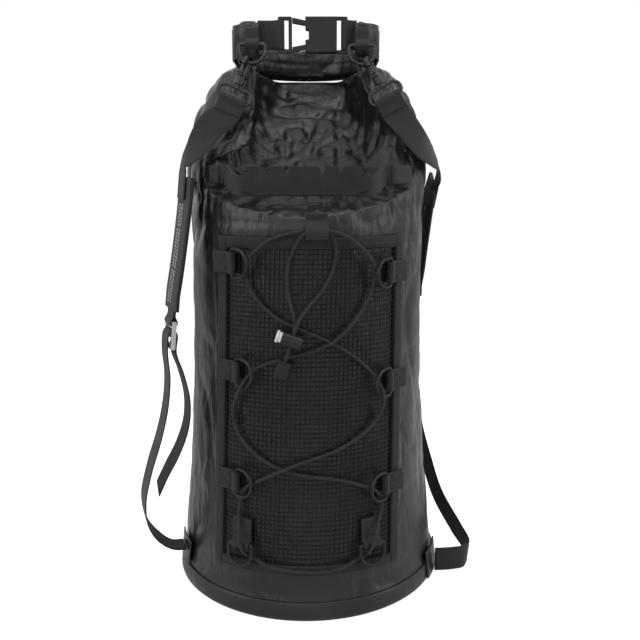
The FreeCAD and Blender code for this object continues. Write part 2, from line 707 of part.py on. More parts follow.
def make_handle_anchors():
    near = handle_reach + seam_gap
    for name, side, end_x, end_y in (("handle_anchor_left", -1, -85.2, -80.4),
                                     ("handle_anchor_right", 1, 95.5, -69.0)):
        points = [Vec(side * x, handle_axis_y, handle_axis_z) for x in (near, near + 2.5)]
        points.append(Vec(end_x, end_y, handle_axis_z))
        nodes[name] = ribbon(points, [Vec(0, 0, 1)] * 3, anchor_web, anchor_thick)


# Shoulder straps

# Each side's ring at the roll: its bar's middle, and the way that its hook hangs
hang_bar_y = roll_front - roll_thick / 2 - seam_gap - ring_hole - tab_thick
straps = {
    "left": {"bar": Vec(-47.0, hang_bar_y, 517.0), "way": Vec(-0.377, -0.11, -0.92), "out": 1},
    "right": {"bar": Vec(50.0, hang_bar_y, 516.0), "way": Vec(0.5, -0.02, -0.864), "out": -1},
}


def hook_frame(side):
    """The hook's own origin, the way down along it, and across the ring's wire that it holds."""
    down = Vec(straps[side]["way"]).normalize()
    spread = Vec(down.x, 0, down.z).normalize()
    tangent = Vec(-spread.z, 0, spread.x)
    bar = (tangent - down * tangent.dot(down)).normalize()
    contact = straps[side]["bar"] - Vec(0, 0, hang_ring_depth - hang_ring_width / 2) + spread * (hang_ring_width / 2)
    return contact + down * hook_top(), down, bar


def hook_top():
    """How far the hook's own origin lies below the middle of the ring's wire in it."""
    return hook_barrel_length + hook_straight + hook_half - hook_wire - ring_wire - hook_slack


def hook_pivot():
    """The gate's pin in the hook's own axes."""
    return Vec(hook_half - 1.4, 0, hook_barrel_length + 2.6)


def loop_bar(side):
    """The middle of the bar that the strap's webbing goes round."""
    origin, down, bar = hook_frame(side)
    return origin + down * (3.0 + loop_depth)


def make_roll_ring(side):
    ring = wire_ring(hang_ring_width, hang_ring_depth, ring_corner, hang_ring_width / 2, ring_wire)
    bar_point = straps[side]["bar"]
    nodes[side + "_roll_ring"] = oriented(ring, bar_point, Vec(0, 0, -1), Vec(1, 0, 0))
    tab = webbing_loop(ring_hole, hang_tab_length, hang_tab_web, tab_thick, True)
    nodes[side + "_roll_tab"] = oriented(tab, bar_point, Vec(0, 0, -1), Vec(-1, 0, 0))


def make_hook(side):
    origin, down, bar = hook_frame(side)
    top = hook_barrel_length
    barrel = Part.makeCylinder(hook_barrel, top)
    barrel = barrel.cut(Part.makeCylinder(stem_radius + stem_play, 3.2)).cut(
        Part.makeCylinder(stem_head + 2 * stem_play, 3.0, Vec(0, 0, 3.0)))
    cheek = gate_width / 2 + 1.3
    shelf = block(-hook_half - hook_wire, hook_half, -cheek, cheek, top - 0.6, top + 1.2)
    start = octagon(Vec(-hook_half, 0, top), Vec(0, 0, 1), Vec(1, 0, 0), hook_wire)
    wire = bent_wire(start, [(Vec(0, 0, hook_straight),), (Vec(0, 0, top + hook_straight), Vec(0, 1, 0), 180),
                             (Vec(0, 0, -hook_nose),)])
    pivot = hook_pivot()
    ears = []
    for y in (-cheek, cheek - 1.0):
        ear = block(pivot.x - 1.6, pivot.x + 1.4, y, y + 1.0, top + 0.4, pivot.z + 1.5)
        ears.append(ear.cut(Part.makeCylinder(pin_radius + stem_play, 10, Vec(pivot.x, -5, pivot.z), Vec(0, 1, 0))))
    hook = fused([barrel, shelf, wire] + ears)
    gate_top = top + hook_straight - hook_nose - seam_gap
    gate = block(pivot.x - 1.0, pivot.x + 1.2, -gate_width / 2, gate_width / 2, pivot.z, gate_top)
    gate = gate.fuse(Part.makeCylinder(1.2, gate_width, Vec(pivot.x, -gate_width / 2, pivot.z), Vec(0, 1, 0)))
    gate = gate.fuse(Part.makeCylinder(pin_radius, 2 * cheek, Vec(pivot.x, -cheek, pivot.z),
                                       Vec(0, 1, 0))).removeSplitter()
    loop = wire_ring(loop_width, loop_depth, 3.0, 6.0, loop_wire)
    loop = oriented(loop, Vec(0, 0, -3.0 - loop_depth), Vec(0, 0, 1), Vec(1, 0, 0))
    stem = Part.makeCylinder(stem_radius, 6.1 + loop_wire * 0.5, Vec(0, 0, -3.0 - loop_wire * 0.5))
    stem = stem.fuse(Part.makeCylinder(stem_head, 2.8 - stem_play, Vec(0, 0, 3.0 + stem_play)))
    swivel = loop.fuse(stem).removeSplitter()
    turned = bar * cos(radians(hook_turn)) + down.cross(bar) * sin(radians(hook_turn))
    across = turned.cross(down * -1)
    nodes[side + "_hook"] = oriented(hook, origin, across, down * -1)
    nodes[side + "_hook_gate"] = oriented(gate, origin, across, down * -1)
    nodes[side + "_swivel_loop"] = oriented(swivel, origin, bar, down * -1)


def beside(z, angle, out):
    """A point beside the bag, by its angle from the front in degrees."""
    return bag_point(z, radians(angle), out)


def sideways(angle):
    """The level direction along the bag's side."""
    return (beside(300, angle + 1, 0) - beside(300, angle - 1, 0)).normalize()


left_lean = Vec(-0.4, 0.917, 0)


def adjuster_frame(side):
    """The strap adjuster's centre, its width, the way down the strap and its outer face."""
    if side == "left":
        centre, width, down = Vec(-127.5, -73.0, 258.0), left_lean, Vec(-0.1, -0.02, -0.995)
    else:
        centre, width, down = beside(252.0, 115, 9.0), sideways(115), Vec(0, 0, -1)
    outward = width.cross(down).normalize() * straps[side]["out"]
    return centre, width, down, outward


# Each side's pad, and the free parts of its strap above and below it, as points with the
# direction of the width there
def pad_path(side):
    centre, width, down, outward = adjuster_frame(side)
    above = adjuster_height / 2 - adjuster_bar / 2 + pad_loop_length
    ends = [centre - down * (above + 14.0), centre - down * above]
    if side == "left":
        return ([Vec(-107.5, -73, 402), Vec(-110.5, -73, 375), Vec(-115.0, -73, 345), Vec(-120.0, -73, 315)] + ends,
                [left_lean] * 6)
    angles = (91, 97, 103, 109)
    points = [beside(*p) for p in zip((396, 372, 344, 316), angles, (6.5, 6.5, 7.0, 8.0))]
    return points + ends, [sideways(a) for a in angles] + [width] * 2


def upper_path(side):
    if side == "left":
        return [Vec(-84, -79.5, 446), Vec(-97.5, -80, 428)], [Vec(-1, 0.1, 0.6), Vec(-0.8, 0.6, 0.4)]
    return ([Vec(91, -70, 447), Vec(104, -62, 433), Vec(117, -42, 424), Vec(126, -21, 418)],
            [Vec(1, 0.5, 0.5), Vec(0.8, 0.8, 0.5), Vec(0.3, 0.9, 0.6), Vec(0, 0.9, 0.5)])


def lower_path(side):
    if side == "left":
        return ([Vec(-126.3, -44.1, 31), Vec(-138, -48.2, 33), Vec(-151, -51, 43), Vec(-161, -54, 60), Vec(-163, -58, 86),
                 Vec(-155, -63, 120), Vec(-143, -68, 156), Vec(-135, -72, 187), Vec(-131.5, -74, 217)],
                [Vec(-0.33, 0.94, 0)] * 2 + [Vec(-0.3, 0.95, 0.1), Vec(-0.35, 0.92, 0.1)] + [left_lean] * 5)
    return ([Vec(132.0, -42, 13.6), Vec(140, -41.5, 13.6), Vec(150, -40, 13.6), Vec(163, -35, 13.6),
             Vec(170, -22, 16), Vec(160, -3, 31), beside(58, 98, 16.0), beside(88, 107, 14.0), beside(125, 113, 13.0),
             beside(165, 116, 12.0), beside(205, 117, 12.5)],
            [Vec(0, 0, -1)] * 4 + [Vec(0, 0.47, -0.88), Vec(-0.2, 0.6, -0.75), Vec(-0.25, 0.7, -0.68),
                                   Vec(-0.3, 0.8, -0.5), sideways(112), sideways(116), sideways(115)])


def tail_path(side):
    if side == "left":
        return ([Vec(-119.5, -69, 220), Vec(-115, -66, 194), Vec(-117, -64, 168), Vec(-126, -62, 142),
                 Vec(-139, -58, 117), Vec(-149, -54, 96)], [left_lean] * 6)
    angles = (119, 122, 124, 125)
    return [beside(z, a, 4.7) for z, a in zip((210, 180, 150, 122), angles)], [sideways(a) for a in angles]


def make_upper_strap(side):
    """The webbing from round the swivel's bar down on to the pad's outer face."""
    start, down, bar = loop_bar(side), *hook_frame(side)[1:]
    free, widths = upper_path(side)
    way = free[0] - start
    way = (way - bar * way.dot(bar)).normalize()
    loop = webbing_loop(loop_wire / cos(pi / 8) + ring_play, 13.0, web - 2 * seam_gap, web_thick)
    loop = oriented(loop, start, way * -1, bar)
    pad, pad_widths = pad_path(side)
    along = (pad[1] - pad[0]).normalize()
    share = pad_overlay / (pad[1] - pad[0]).Length
    lift = straps[side]["out"] * (pad_thick / 2 + overlay_gap + web_thick / 2)
    points, across = [start + way * 7.0, start + way * 12.0] + free, [bar * copysign(1.0, bar.dot(widths[0]))] * 2 + widths
    for t, width in ((-12.0, pad_widths[0]), (-5.0, pad_widths[0]),
                     (pad_overlay, pad_widths[0] * (1 - share) + pad_widths[1] * share)):
        normal = width.cross(along).normalize()
        points.append(pad[0] + along * t + normal * lift)
        across.append(along.cross(normal))
    strap = ribbon(points, across, web, web_thick)
    nodes[side + "_upper_strap"] = fused([strap, loop])


def make_adjuster(side):
    centre, width, down, outward = adjuster_frame(side)
    half_w, half_h, thick = adjuster_width / 2, adjuster_height / 2, adjuster_thick / 2
    frame = block(-half_h, half_h, -thick, thick, -half_w, half_w)
    frame = frame.makeFillet(1.5, [e for e in frame.Edges if abs(e.tangentAt(0).y) > 0.9])
    inner, bar = half_w - adjuster_side, half_h - adjuster_bar
    for low, high in ((-bar, -middle_bar / 2), (middle_bar / 2, bar)):
        frame = frame.cut(block(low, high, -thick - 1, thick + 1, -inner, inner))
    nodes[side + "_adjuster"] = oriented(frame, centre, down, width)
    top_bar = centre - down * (half_h - adjuster_bar / 2)
    loop = webbing_loop(round_bar(adjuster_bar, adjuster_thick), pad_loop_length - seam_gap, web, web_thick)
    nodes[side + "_pad_loop"] = oriented(loop, top_bar, down, width)


def make_lower_strap(side):
    """The webbing from the bag's foot, over the adjuster's middle bar and down again to its free end."""
    centre, width, down, outward = adjuster_frame(side)
    radius = round_bar(middle_bar, adjuster_thick) + seam_gap + web_thick / 2
    clear = adjuster_height / 2 + 3.0
    fold = [centre + down * clear + outward * radius]
    for step in range(7):
        turn = pi * step / 6
        fold.append(centre + outward * (radius * cos(turn)) - down * (radius * sin(turn)))
    fold.append(centre + down * clear - outward * radius)
    lower, lower_widths = lower_path(side)
    tail, tail_widths = tail_path(side)
    nodes[side + "_lower_strap"] = ribbon(lower + fold + tail, lower_widths + [width] * len(fold) + tail_widths,
                                          web, web_thick)


def make_foot_patches():
    """The welded patches that the lower straps are sewn to, the right one over the base's lip."""
    for name, angle, low, high, lift in (("left_foot_patch", -70.5, base_lip + 2.0, panel_bottom - 1.0, seam_gap),
                                         ("right_foot_patch", 71.5, 3.0, 30.0, 2 * seam_gap + fabric)):
        ends = [radians(angle - 8.5), radians(angle + 8.5)]
        nodes[name] = lofted([strip_wire(z, *ends, lift, patch_thick, 5) for z in (low, high)])


def make_strap(side):
    make_roll_ring(side)
    make_hook(side)
    make_upper_strap(side)
    nodes[side + "_pad"] = ribbon(*pad_path(side), pad_width, pad_thick)
    make_adjuster(side)
    make_lower_strap(side)


make_body()
make_closure()
make_panel()
make_panel_rings()
make_top_loop()
make_cord()
make_cord_lock()
make_handle()
make_handle_anchors()
make_strap("left")
make_strap("right")
make_foot_patches()

for name, shape in nodes.items():
    shape.exportStep("parts/" + name + ".step")
print("%d nodes" % len(nodes))
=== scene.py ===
from math import atan2, copysign, cos, pi, radians, sin, sqrt

import bpy
from mathutils import Euler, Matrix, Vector, noise


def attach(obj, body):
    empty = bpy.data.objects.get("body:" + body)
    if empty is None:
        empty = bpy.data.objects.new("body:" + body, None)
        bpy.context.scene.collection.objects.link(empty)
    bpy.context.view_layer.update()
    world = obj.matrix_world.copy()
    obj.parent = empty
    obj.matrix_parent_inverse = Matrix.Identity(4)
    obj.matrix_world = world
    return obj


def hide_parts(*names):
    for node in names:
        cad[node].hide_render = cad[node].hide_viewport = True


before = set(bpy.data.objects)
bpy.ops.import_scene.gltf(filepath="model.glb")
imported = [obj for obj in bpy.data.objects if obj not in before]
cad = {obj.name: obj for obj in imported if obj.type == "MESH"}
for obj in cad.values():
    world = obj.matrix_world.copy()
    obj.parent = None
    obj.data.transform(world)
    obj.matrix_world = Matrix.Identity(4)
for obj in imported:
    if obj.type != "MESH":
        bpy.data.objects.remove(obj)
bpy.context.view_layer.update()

# Roll-top dry bag with two shoulder straps. Sizes below are in millimetres, in the frame of the solids.
MM = 0.001
WEB_WIDTH = 25
WEB_THICK = 1.4
WEB_FACE = 0.72
WEB_SEAMS = (-9.5, 9.5)
PAD_WIDTH = 43
PAD_THICK = 3.4
PAD_PIPING = 21.2
PANEL_LOW = 43
PANEL_HIGH = 351
PANEL_REACH = 93


# Shader maths and finishes

class Signal:
    """A shader socket that can be used in sums."""

    def __init__(self, finish, socket):
        self.finish = finish
        self.socket = socket

    def sum(self, operation, *others):
        return self.finish.node("ShaderNodeMath", {"operation": operation}, self, *others)

    def __add__(self, other):
        return self.sum("ADD", other)

    def __sub__(self, other):
        return self.sum("SUBTRACT", other)

    def __mul__(self, other):
        return self.sum("MULTIPLY", other)

    def __pow__(self, other):
        return self.sum("POWER", other)

    def __rsub__(self, other):
        return self.finish.node("ShaderNodeMath", {"operation": "SUBTRACT"}, other, self)

    __radd__ = __add__
    __rmul__ = __mul__

    def sine(self):
        return self.sum("SINE")

    def size(self):
        return self.sum("ABSOLUTE")

    def over(self, low, high):
        """0 below the low value, 1 above the high one."""
        return self.finish.node("ShaderNodeMapRange", {"clamp": True}, self, low, high, 0.0, 1.0)


class Finish:
    """A material on one principled shader."""

    def __init__(self, name, color, roughness, **settings):
        self.material = bpy.data.materials.new(name)
        self.material.use_nodes = True
        self.tree = self.material.node_tree
        self.shader = self.tree.nodes["Principled BSDF"]
        self.color = color
        self.feed(self.shader.inputs["Base Color"], (*color, 1.0))
        self.feed(self.shader.inputs["Roughness"], roughness)
        self.feed(self.shader.inputs["Specular IOR Level"], 0.16)
        for key, value in settings.items():
            self.feed(self.shader.inputs[key.replace("_", " ")], value)

    def feed(self, socket, value):
        if isinstance(value, Signal):
            self.tree.links.new(value.socket, socket)
        else:
            socket.default_value = value

    def node(self, kind, settings, *values, out=0, **named):
        made = self.tree.nodes.new(kind)
        for key, value in settings.items():
            setattr(made, key, value)
        for key, value in list(enumerate(values)) + list(named.items()):
            self.feed(made.inputs[key], value)
        return Signal(self, made.outputs[out])

    def place(self, stretch=(1.0, 1.0, 1.0)):
        """Object coordinates in metres, stretched."""
        here = self.node("ShaderNodeTexCoord", {}, out=3)
        return self.node("ShaderNodeMapping", {}, Vector=here, Scale=stretch)

    def along(self):
        """A strap's own coordinates in millimetres: across it and along it."""
        both = self.node("ShaderNodeTexCoord", {}, out=2)
        split = self.node("ShaderNodeSeparateXYZ", {}, both)
        return split * 10.0, Signal(self, split.socket.node.outputs[1]) * 10.0

    def speckle(self, scale, detail=3.0, stretch=(1.0, 1.0, 1.0), roughness=0.5):
        """Noise from 0 to 1 at a scale per metre."""
        return self.node("ShaderNodeTexNoise", {}, Vector=self.place(stretch), Scale=scale, Detail=detail,
                         Roughness=roughness)

    def cells(self, scale, feature="F1"):
        return self.node("ShaderNodeTexVoronoi", {"feature": feature}, Vector=self.place(), Scale=scale)

    def tint(self, amount, light):
        """Moves the base colour towards a lighter one."""
        mixed = self.node("ShaderNodeMix", {"data_type": "RGBA"}, out=2)
        made = mixed.socket.node
        self.feed(made.inputs[0], amount)
        self.feed(made.inputs[6], (*self.color, 1.0))
        self.feed(made.inputs[7], (*light, 1.0))
        self.feed(self.shader.inputs["Base Color"], mixed)

    def gloss(self, roughness):
        self.feed(self.shader.inputs["Roughness"], roughness)

    def relief(self, *layers):
        """Bumps, each a height and its depth in millimetres, one on another."""
        normal = None
        for height, depth in layers:
            named = {"Height": height, "Distance": depth * MM, "Strength": 1.0}
            if normal:
                named["Normal"] = normal
            normal = self.node("ShaderNodeBump", {}, **named)
        self.feed(self.shader.inputs["Normal"], normal)


def make_tarpaulin(name, wrinkles):
    """Coated fabric: a fine embossed grain, worn sheen and soft wrinkles."""
    made = Finish(name, (0.0062, 0.0057, 0.0054), 0.4, Specular_IOR_Level=0.26)
    grain = made.cells(1100.0)
    dust = made.speckle(14.0, 4.0)
    folds = made.speckle(26.0, 5.0, (1.0, 1.0, 0.45))
    sharp = 1.0 - (folds * 2.0 - 1.0).size()
    scuffs = made.speckle(240.0, 5.0).over(0.58, 0.78)
    made.tint(dust.over(0.4, 0.8) * 0.5 + scuffs * 0.15, (0.017, 0.0148, 0.0132))
    made.gloss(0.29 + dust.over(0.3, 0.75) * 0.14 + scuffs * 0.12)
    made.relief((sharp ** 5.0, 0.8 * wrinkles), (folds, 3.2 * wrinkles), (made.speckle(120.0, 3.0), 0.35),
                (grain, 0.05))
    return made.material


def make_webbing(name, color, light, rib=1.5):
    """Woven strap: ribs that run across it in chevrons."""
    made = Finish(name, color, 0.62, Sheen_Weight=0.05, Sheen_Roughness=0.5)
    across, along = made.along()
    chevron = (across * (2.0 * pi / 6.2)).sine().size() * 0.9
    ribs = ((along + chevron) * (2.0 * pi / rib)).sine()
    cords = (across * (2.0 * pi / 1.1)).sine()
    fuzz = made.speckle(900.0, 3.0)
    height = ribs * 0.5 + cords * 0.25 + fuzz * 0.3
    made.tint((ribs * 0.5 + 0.5) * 0.35 + fuzz * 0.4, light)
    made.gloss(0.52 + fuzz * 0.25)
    made.relief((height, 0.13))
    return made.material


def make_plastic(name, color, light, roughness, sparkle=0.05):
    """Moulded plastic with a fine spark-eroded grain."""
    made = Finish(name, color, roughness)
    cloud = made.speckle(60.0, 3.0)
    made.tint(cloud.over(0.35, 0.75) * 0.5, light)
    made.gloss(roughness - 0.05 + cloud * 0.12)
    made.relief((made.speckle(1500.0, 2.0), sparkle), (made.speckle(90.0, 2.0), 0.08))
    return made.material


def make_metal(name, color, metallic, roughness):
    """Plated wire and castings, with small scuffs."""
    made = Finish(name, color, roughness, Metallic=metallic)
    scuffs = made.speckle(420.0, 4.0).over(0.55, 0.75)
    made.tint(scuffs * 0.35, (0.12, 0.115, 0.11))
    made.gloss(roughness + made.speckle(90.0, 3.0) * 0.14)
    made.relief((made.speckle(300.0, 3.0), 0.06))
    return made.material


def make_rubber(name):
    made = Finish(name, (0.0065, 0.0062, 0.006), 0.55)
    made.tint(made.speckle(70.0, 4.0).over(0.4, 0.75) * 0.5, (0.016, 0.015, 0.014))
    made.relief((made.cells(700.0), 0.1), (made.speckle(60.0, 3.0), 0.3))
    return made.material


def make_air_mesh(name):
    """Pad cover: knitted spacer mesh with small holes in rows."""
    made = Finish(name, (0.007, 0.0067, 0.0064), 0.75, Sheen_Weight=0.08, Sheen_Roughness=0.6)
    across, along = made.along()
    rows = (across * (2.0 * pi / 2.6)).sine() * (along * (2.0 * pi / 2.6)).sine()
    made.tint(rows.over(0.1, 0.7) * 0.5, (0.024, 0.0225, 0.0212))
    made.relief((rows, 0.35), (made.speckle(900.0, 3.0), 0.12))
    return made.material


def make_braid(name):
    """Elastic cord's braided cover."""
    made = Finish(name, (0.0055, 0.0052, 0.005), 0.6, Sheen_Weight=0.04)
    cells = made.cells(1250.0)
    made.tint(cells.over(0.2, 0.7) * 0.45, (0.026, 0.0244, 0.023))
    made.relief((1.0 - cells, 0.3), (made.speckle(700.0, 2.0), 0.1))
    return made.material


def make_thread(name, color, light):
    made = Finish(name, color, 0.55)
    made.tint(made.speckle(1300.0, 2.0), light)
    made.relief((made.speckle(1800.0, 2.0), 0.1))
    return made.material


tarpaulin = make_tarpaulin("tarpaulin", 1.0)
smooth_tarpaulin = make_tarpaulin("tarpaulin_welded", 0.3)
webbing = make_webbing("black_webbing", (0.0055, 0.0052, 0.005), (0.021, 0.0195, 0.0185))
tape = make_webbing("binding_tape", (0.005, 0.0047, 0.0045), (0.015, 0.014, 0.0132), 1.0)
netting = make_thread("netting", (0.0045, 0.0042, 0.004), (0.012, 0.011, 0.0104))
buckle_plastic = make_plastic("buckle_plastic", (0.006, 0.0059, 0.0058), (0.015, 0.0146, 0.014), 0.34)
ring_plastic = make_plastic("ring_plastic", (0.006, 0.0059, 0.0058), (0.014, 0.0136, 0.013), 0.3)
lock_plastic = make_plastic("lock_plastic", (0.006, 0.0059, 0.0058), (0.015, 0.0146, 0.014), 0.32)
adjuster_plastic = make_plastic("adjuster_plastic", (0.33, 0.325, 0.32), (0.42, 0.415, 0.41), 0.42)
plunger_plastic = make_plastic("plunger_plastic", (0.42, 0.415, 0.41), (0.5, 0.495, 0.49), 0.35)
strip_plastic = make_plastic("strip_plastic", (0.03, 0.03, 0.03), (0.05, 0.05, 0.05), 0.45)
hook_metal = make_metal("hook_metal", (0.03, 0.0295, 0.029), 0.85, 0.3)
spring_steel = make_metal("spring_steel", (0.55, 0.55, 0.54), 1.0, 0.25)
grip_rubber = make_rubber("grip_rubber")
air_mesh = make_air_mesh("air_mesh")
braid = make_braid("braid")
thread = make_thread("thread", (0.012, 0.0113, 0.0107), (0.03, 0.028, 0.0265))
shiny_thread = make_thread("shiny_thread", (0.3, 0.3, 0.3), (0.42, 0.42, 0.41))


# Meshes

def piece(name, points, faces, material, replaces=(), body="bag", uvs=None):
    """A mesh from points in millimetres, riding on a body."""
    mesh = bpy.data.meshes.new(name)
    mesh.from_pydata([tuple(Vector(p) * MM) for p in points], [], faces)
    if uvs:
        layer = mesh.uv_layers.new(name="UVMap")
        for loop in mesh.loops:
            layer.data[loop.index].uv = uvs[loop.vertex_index]
    return placed(name, mesh, material, replaces, body)


def placed(name, mesh, material, replaces=(), body="bag"):
    mesh.validate()
    for face in mesh.polygons:
        face.use_smooth = True
    made = bpy.data.objects.new(name, mesh)
    bpy.context.collection.objects.link(made)
    made.data.materials.clear()
    made.data.materials.append(material)
    bpy.context.view_layer.update()
    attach(made, body)
    if replaces:
        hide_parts(*replaces)
    return made


def dress(name, material):
    """Puts a finish on a solid that shows."""
    target = cad[name]
    target.data.materials.clear()
    target.data.materials.append(material)
    return target


def softened(target, kind, **settings):
    changed = target.modifiers.new(kind.lower(), kind)
    for key, value in settings.items():
        setattr(changed, key, value)
    return target


def bevelled(name, material, width, segments=2):
    """Dresses a solid and rounds its sharp edges, by a width in millimetres."""
    return softened(dress(name, material), "BEVEL", width=width * MM, segments=segments, limit_method="ANGLE")


def rounded(name, material, voxel):
    """Dresses a solid of few flat faces and rounds it, in small squares."""
    softened(dress(name, material), "REMESH", mode="VOXEL", voxel_size=voxel * MM)
    softened(cad[name], "SMOOTH", factor=0.5, iterations=5)


def remeshed(node, voxel, rounds):
    """A copy of a solid's mesh in even small squares, smoothed."""
    mesh = cad[node].data.copy()
    copy = bpy.data.objects.new(node + "_copy", mesh)
    bpy.context.collection.objects.link(copy)
    softened(copy, "REMESH", mode="VOXEL", voxel_size=voxel * MM)
    softened(copy, "SMOOTH", factor=0.5, iterations=rounds)
    bpy.context.view_layer.update()
    done = bpy.data.meshes.new_from_object(copy.evaluated_get(bpy.context.evaluated_depsgraph_get()))
    bpy.data.objects.remove(copy)
    bpy.data.meshes.remove(mesh)
    return done


def between(p0, p1, p2, p3, t):
    """A smooth line's point between p1 and p2."""
    knots = [0.0]
    for a, b in ((p0, p1), (p1, p2), (p2, p3)):
        knots.append(knots[-1] + max(1e-4, (b - a).length) ** 0.5)
    x = knots[1] + (knots[2] - knots[1]) * t

    def mix(a, b, i, j):
        return a * ((knots[j] - x) / (knots[j] - knots[i])) + b * ((x - knots[i]) / (knots[j] - knots[i]))

    first = mix(mix(p0, p1, 0, 1), mix(p1, p2, 1, 2), 0, 2)
    second = mix(mix(p1, p2, 1, 2), mix(p2, p3, 2, 3), 1, 3)
    return mix(first, second, 1, 2)


def stations(rows, step=3.0):
    """Places along a strap: the point, the way across, the way out and the length so far."""
    points = [Vector(row[:3]) for row in rows]
    acrosses = [Vector(row[3:6]) for row in rows]
    ends = [2 * points[0] - points[1]] + points + [2 * points[-1] - points[-2]]
    line = []
    for i in range(len(points) - 1):
        parts = max(1, round((points[i + 1] - points[i]).length / step))
        for k in range(parts):
            t = k / parts
            line.append((between(*ends[i:i + 4], t), acrosses[i].lerp(acrosses[i + 1], t)))
    line.append((points[-1], acrosses[-1]))
    found = []
    length = 0.0
    for i, (point, across) in enumerate(line):
        ahead = (line[min(i + 1, len(line) - 1)][0] - line[max(i - 1, 0)][0]).normalized()
        across = (across - ahead * across.dot(ahead)).normalized()
        if i:
            length += (point - line[i - 1][0]).length
        found.append((point, across, across.cross(ahead), length))
    return found


SHARES = (-1.0, -0.985, -0.93, -0.7, -0.35, 0.0, 0.35, 0.7, 0.93, 0.985, 1.0)


def flat_outline(width, thick, crown=0.0):
    """A strap's cross-section: across it and out of it."""
    top = [(s * width / 2, (thick / 2 + crown * (1 - s * s)) * sqrt(max(0.0, 1 - abs(s) ** 40)))
           for s in SHARES]
    return top + [(a, -b) for a, b in reversed(top[1:-1])]


class Parts:
    """Collects several shells that become one piece."""

    def __init__(self):
        self.points = []
        self.faces = []
        self.uvs = []

    def tube(self, rings, uvs, closed=True):
        start = len(self.points)
        count = len(rings[0])
        for ring, uv in zip(rings, uvs):
            self.points += ring
            self.uvs += uv
        for k in range(len(rings) - 1):
            for i in range(count if closed else count - 1):
                a = start + k * count + i
                b = start + k * count + (i + 1) % count
                self.faces.append((a, b, b + count, a + count))
        if closed:
            self.faces.append(tuple(range(start + count - 1, start - 1, -1)))
            last = start + (len(rings) - 1) * count
            self.faces.append(tuple(range(last, last + count)))

    def strap(self, rows, width, thick, crown=0.0, step=3.0):
        found = stations(rows, step)
        outline = flat_outline(width, thick, crown)
        rings = []
        uvs = []
        for point, across, out, length in found:
            rings.append([point + across * a + out * b for a, b in outline])
            uvs.append([(a / 10, length / 10) for a, b in outline])
        self.tube(rings, uvs)
        return found

    def stitches(self, spots, wide=0.55, high=0.35):
        """Short raised dashes: each a middle, a direction with its length, and the way out."""
        for middle, run, out in spots:
            side = run.cross(out).normalized() * (wide / 2)
            half = run / 2
            rise = out * high
            start = len(self.points)
            self.points += [middle - half - side, middle - half + side]
            self.points += [middle + half + side, middle + half - side]
            self.points += [middle - half * 0.6 + rise, middle + half * 0.6 + rise]
            self.uvs += [(0.0, 0.0)] * 6
            for face in ((0, 1, 4), (1, 2, 5, 4), (2, 3, 5), (3, 0, 4, 5), (3, 2, 1, 0)):
                self.faces.append(tuple(start + i for i in face))

    def make(self, name, material, replaces=(), body="bag"):
        return piece(name, self.points, self.faces, material, replaces, body, self.uvs)


def seam_rows(rows, shift, lift, first, last, pitch=3.0, share=0.68):
    """Stitches along a strap, shifted across it and lifted to its face, between two lengths."""
    spots = []
    place = first
    found = stations(rows, 1.5)
    for here, after in zip(found, found[1:]):
        if here[3] <= place < after[3] and place < last:
            run = (after[0] - here[0]).normalized() * (pitch * share)
            spots.append((here[0] + here[1] * shift + here[2] * lift, run, here[2] * copysign(1.0, lift)))
            place += pitch
    return spots


def cross_stitches(centre, way, side, out, length, width, pitch=2.6):
    """A sewn box with a cross in it."""
    corners = [centre + way * (length / 2 * a) + side * (width / 2 * b)
               for a, b in ((1, 1), (1, -1), (-1, -1), (-1, 1))]
    spots = []
    for a, b in ((0, 1), (1, 2), (2, 3), (3, 0), (0, 2), (1, 3)):
        run = corners[b] - corners[a]
        count = max(2, round(run.length / pitch))
        for i in range(count):
            spots.append((corners[a] + run * ((i + 0.5) / count), run * (0.66 / count), out))
    return spots


# Outline of the bag at a height

def lerp(a, b, t):
    return a + (b - a) * t


def bowed(start, middle, end, t):
    return lerp(start, end, t) + 4 * (middle - (start + end) / 2) * t * (1 - t)


def above(z):
    return (z - 400) / 105


def bag_half(z):
    if z < 330:
        return 116 + 19 * (1 - z / 330) ** 2
    if z < 400:
        return lerp(116, 120, ((z - 330) / 70) ** 2)
    return 66 + 54 * sqrt(max(0.0, 1 - above(z) ** 2))


def bag_front(z):
    if z < 366:
        return bowed(135, 121, 128, z / 366)
    if z < 400:
        return lerp(128, 125, (z - 366) / 34)
    return 66 + 59 * max(0.0, 1 - above(z)) ** 2.2


def bag_back(z):
    if z < 400:
        return bowed(135, 142, 138, z / 400)
    return 86 + 52 * sqrt(max(0.0, 1 - above(z) ** 2))


def bag_point(z, angle, out=0.0):
    """A point on the bag, by its angle from the front towards +X, and how far it stands out."""
    s = sin(angle)
    c = cos(angle)
    power = 2.0 / (2.0 + 0.8 * max(0.0, above(z)))
    depth = bag_front(z) if c > 0 else bag_back(z)
    return Vector(((bag_half(z) + out) * copysign(abs(s) ** power, s),
                   -(depth + out) * copysign(abs(c) ** power, c), z))


def bag_out(z, angle):
    """The way out of the bag's skin."""
    level = bag_point(z, angle + 0.02) - bag_point(z, angle - 0.02)
    upward = bag_point(z + 2, angle) - bag_point(z - 2, angle)
    return level.cross(upward).normalized()


def panel_angles(z, more=0.0):
    radius = (bag_half(z) + bag_front(z)) / 2
    lean = 8 * (z - PANEL_LOW) / (PANEL_HIGH - PANEL_LOW) / radius
    reach = (PANEL_REACH + more) / radius
    return lean - reach, lean + reach


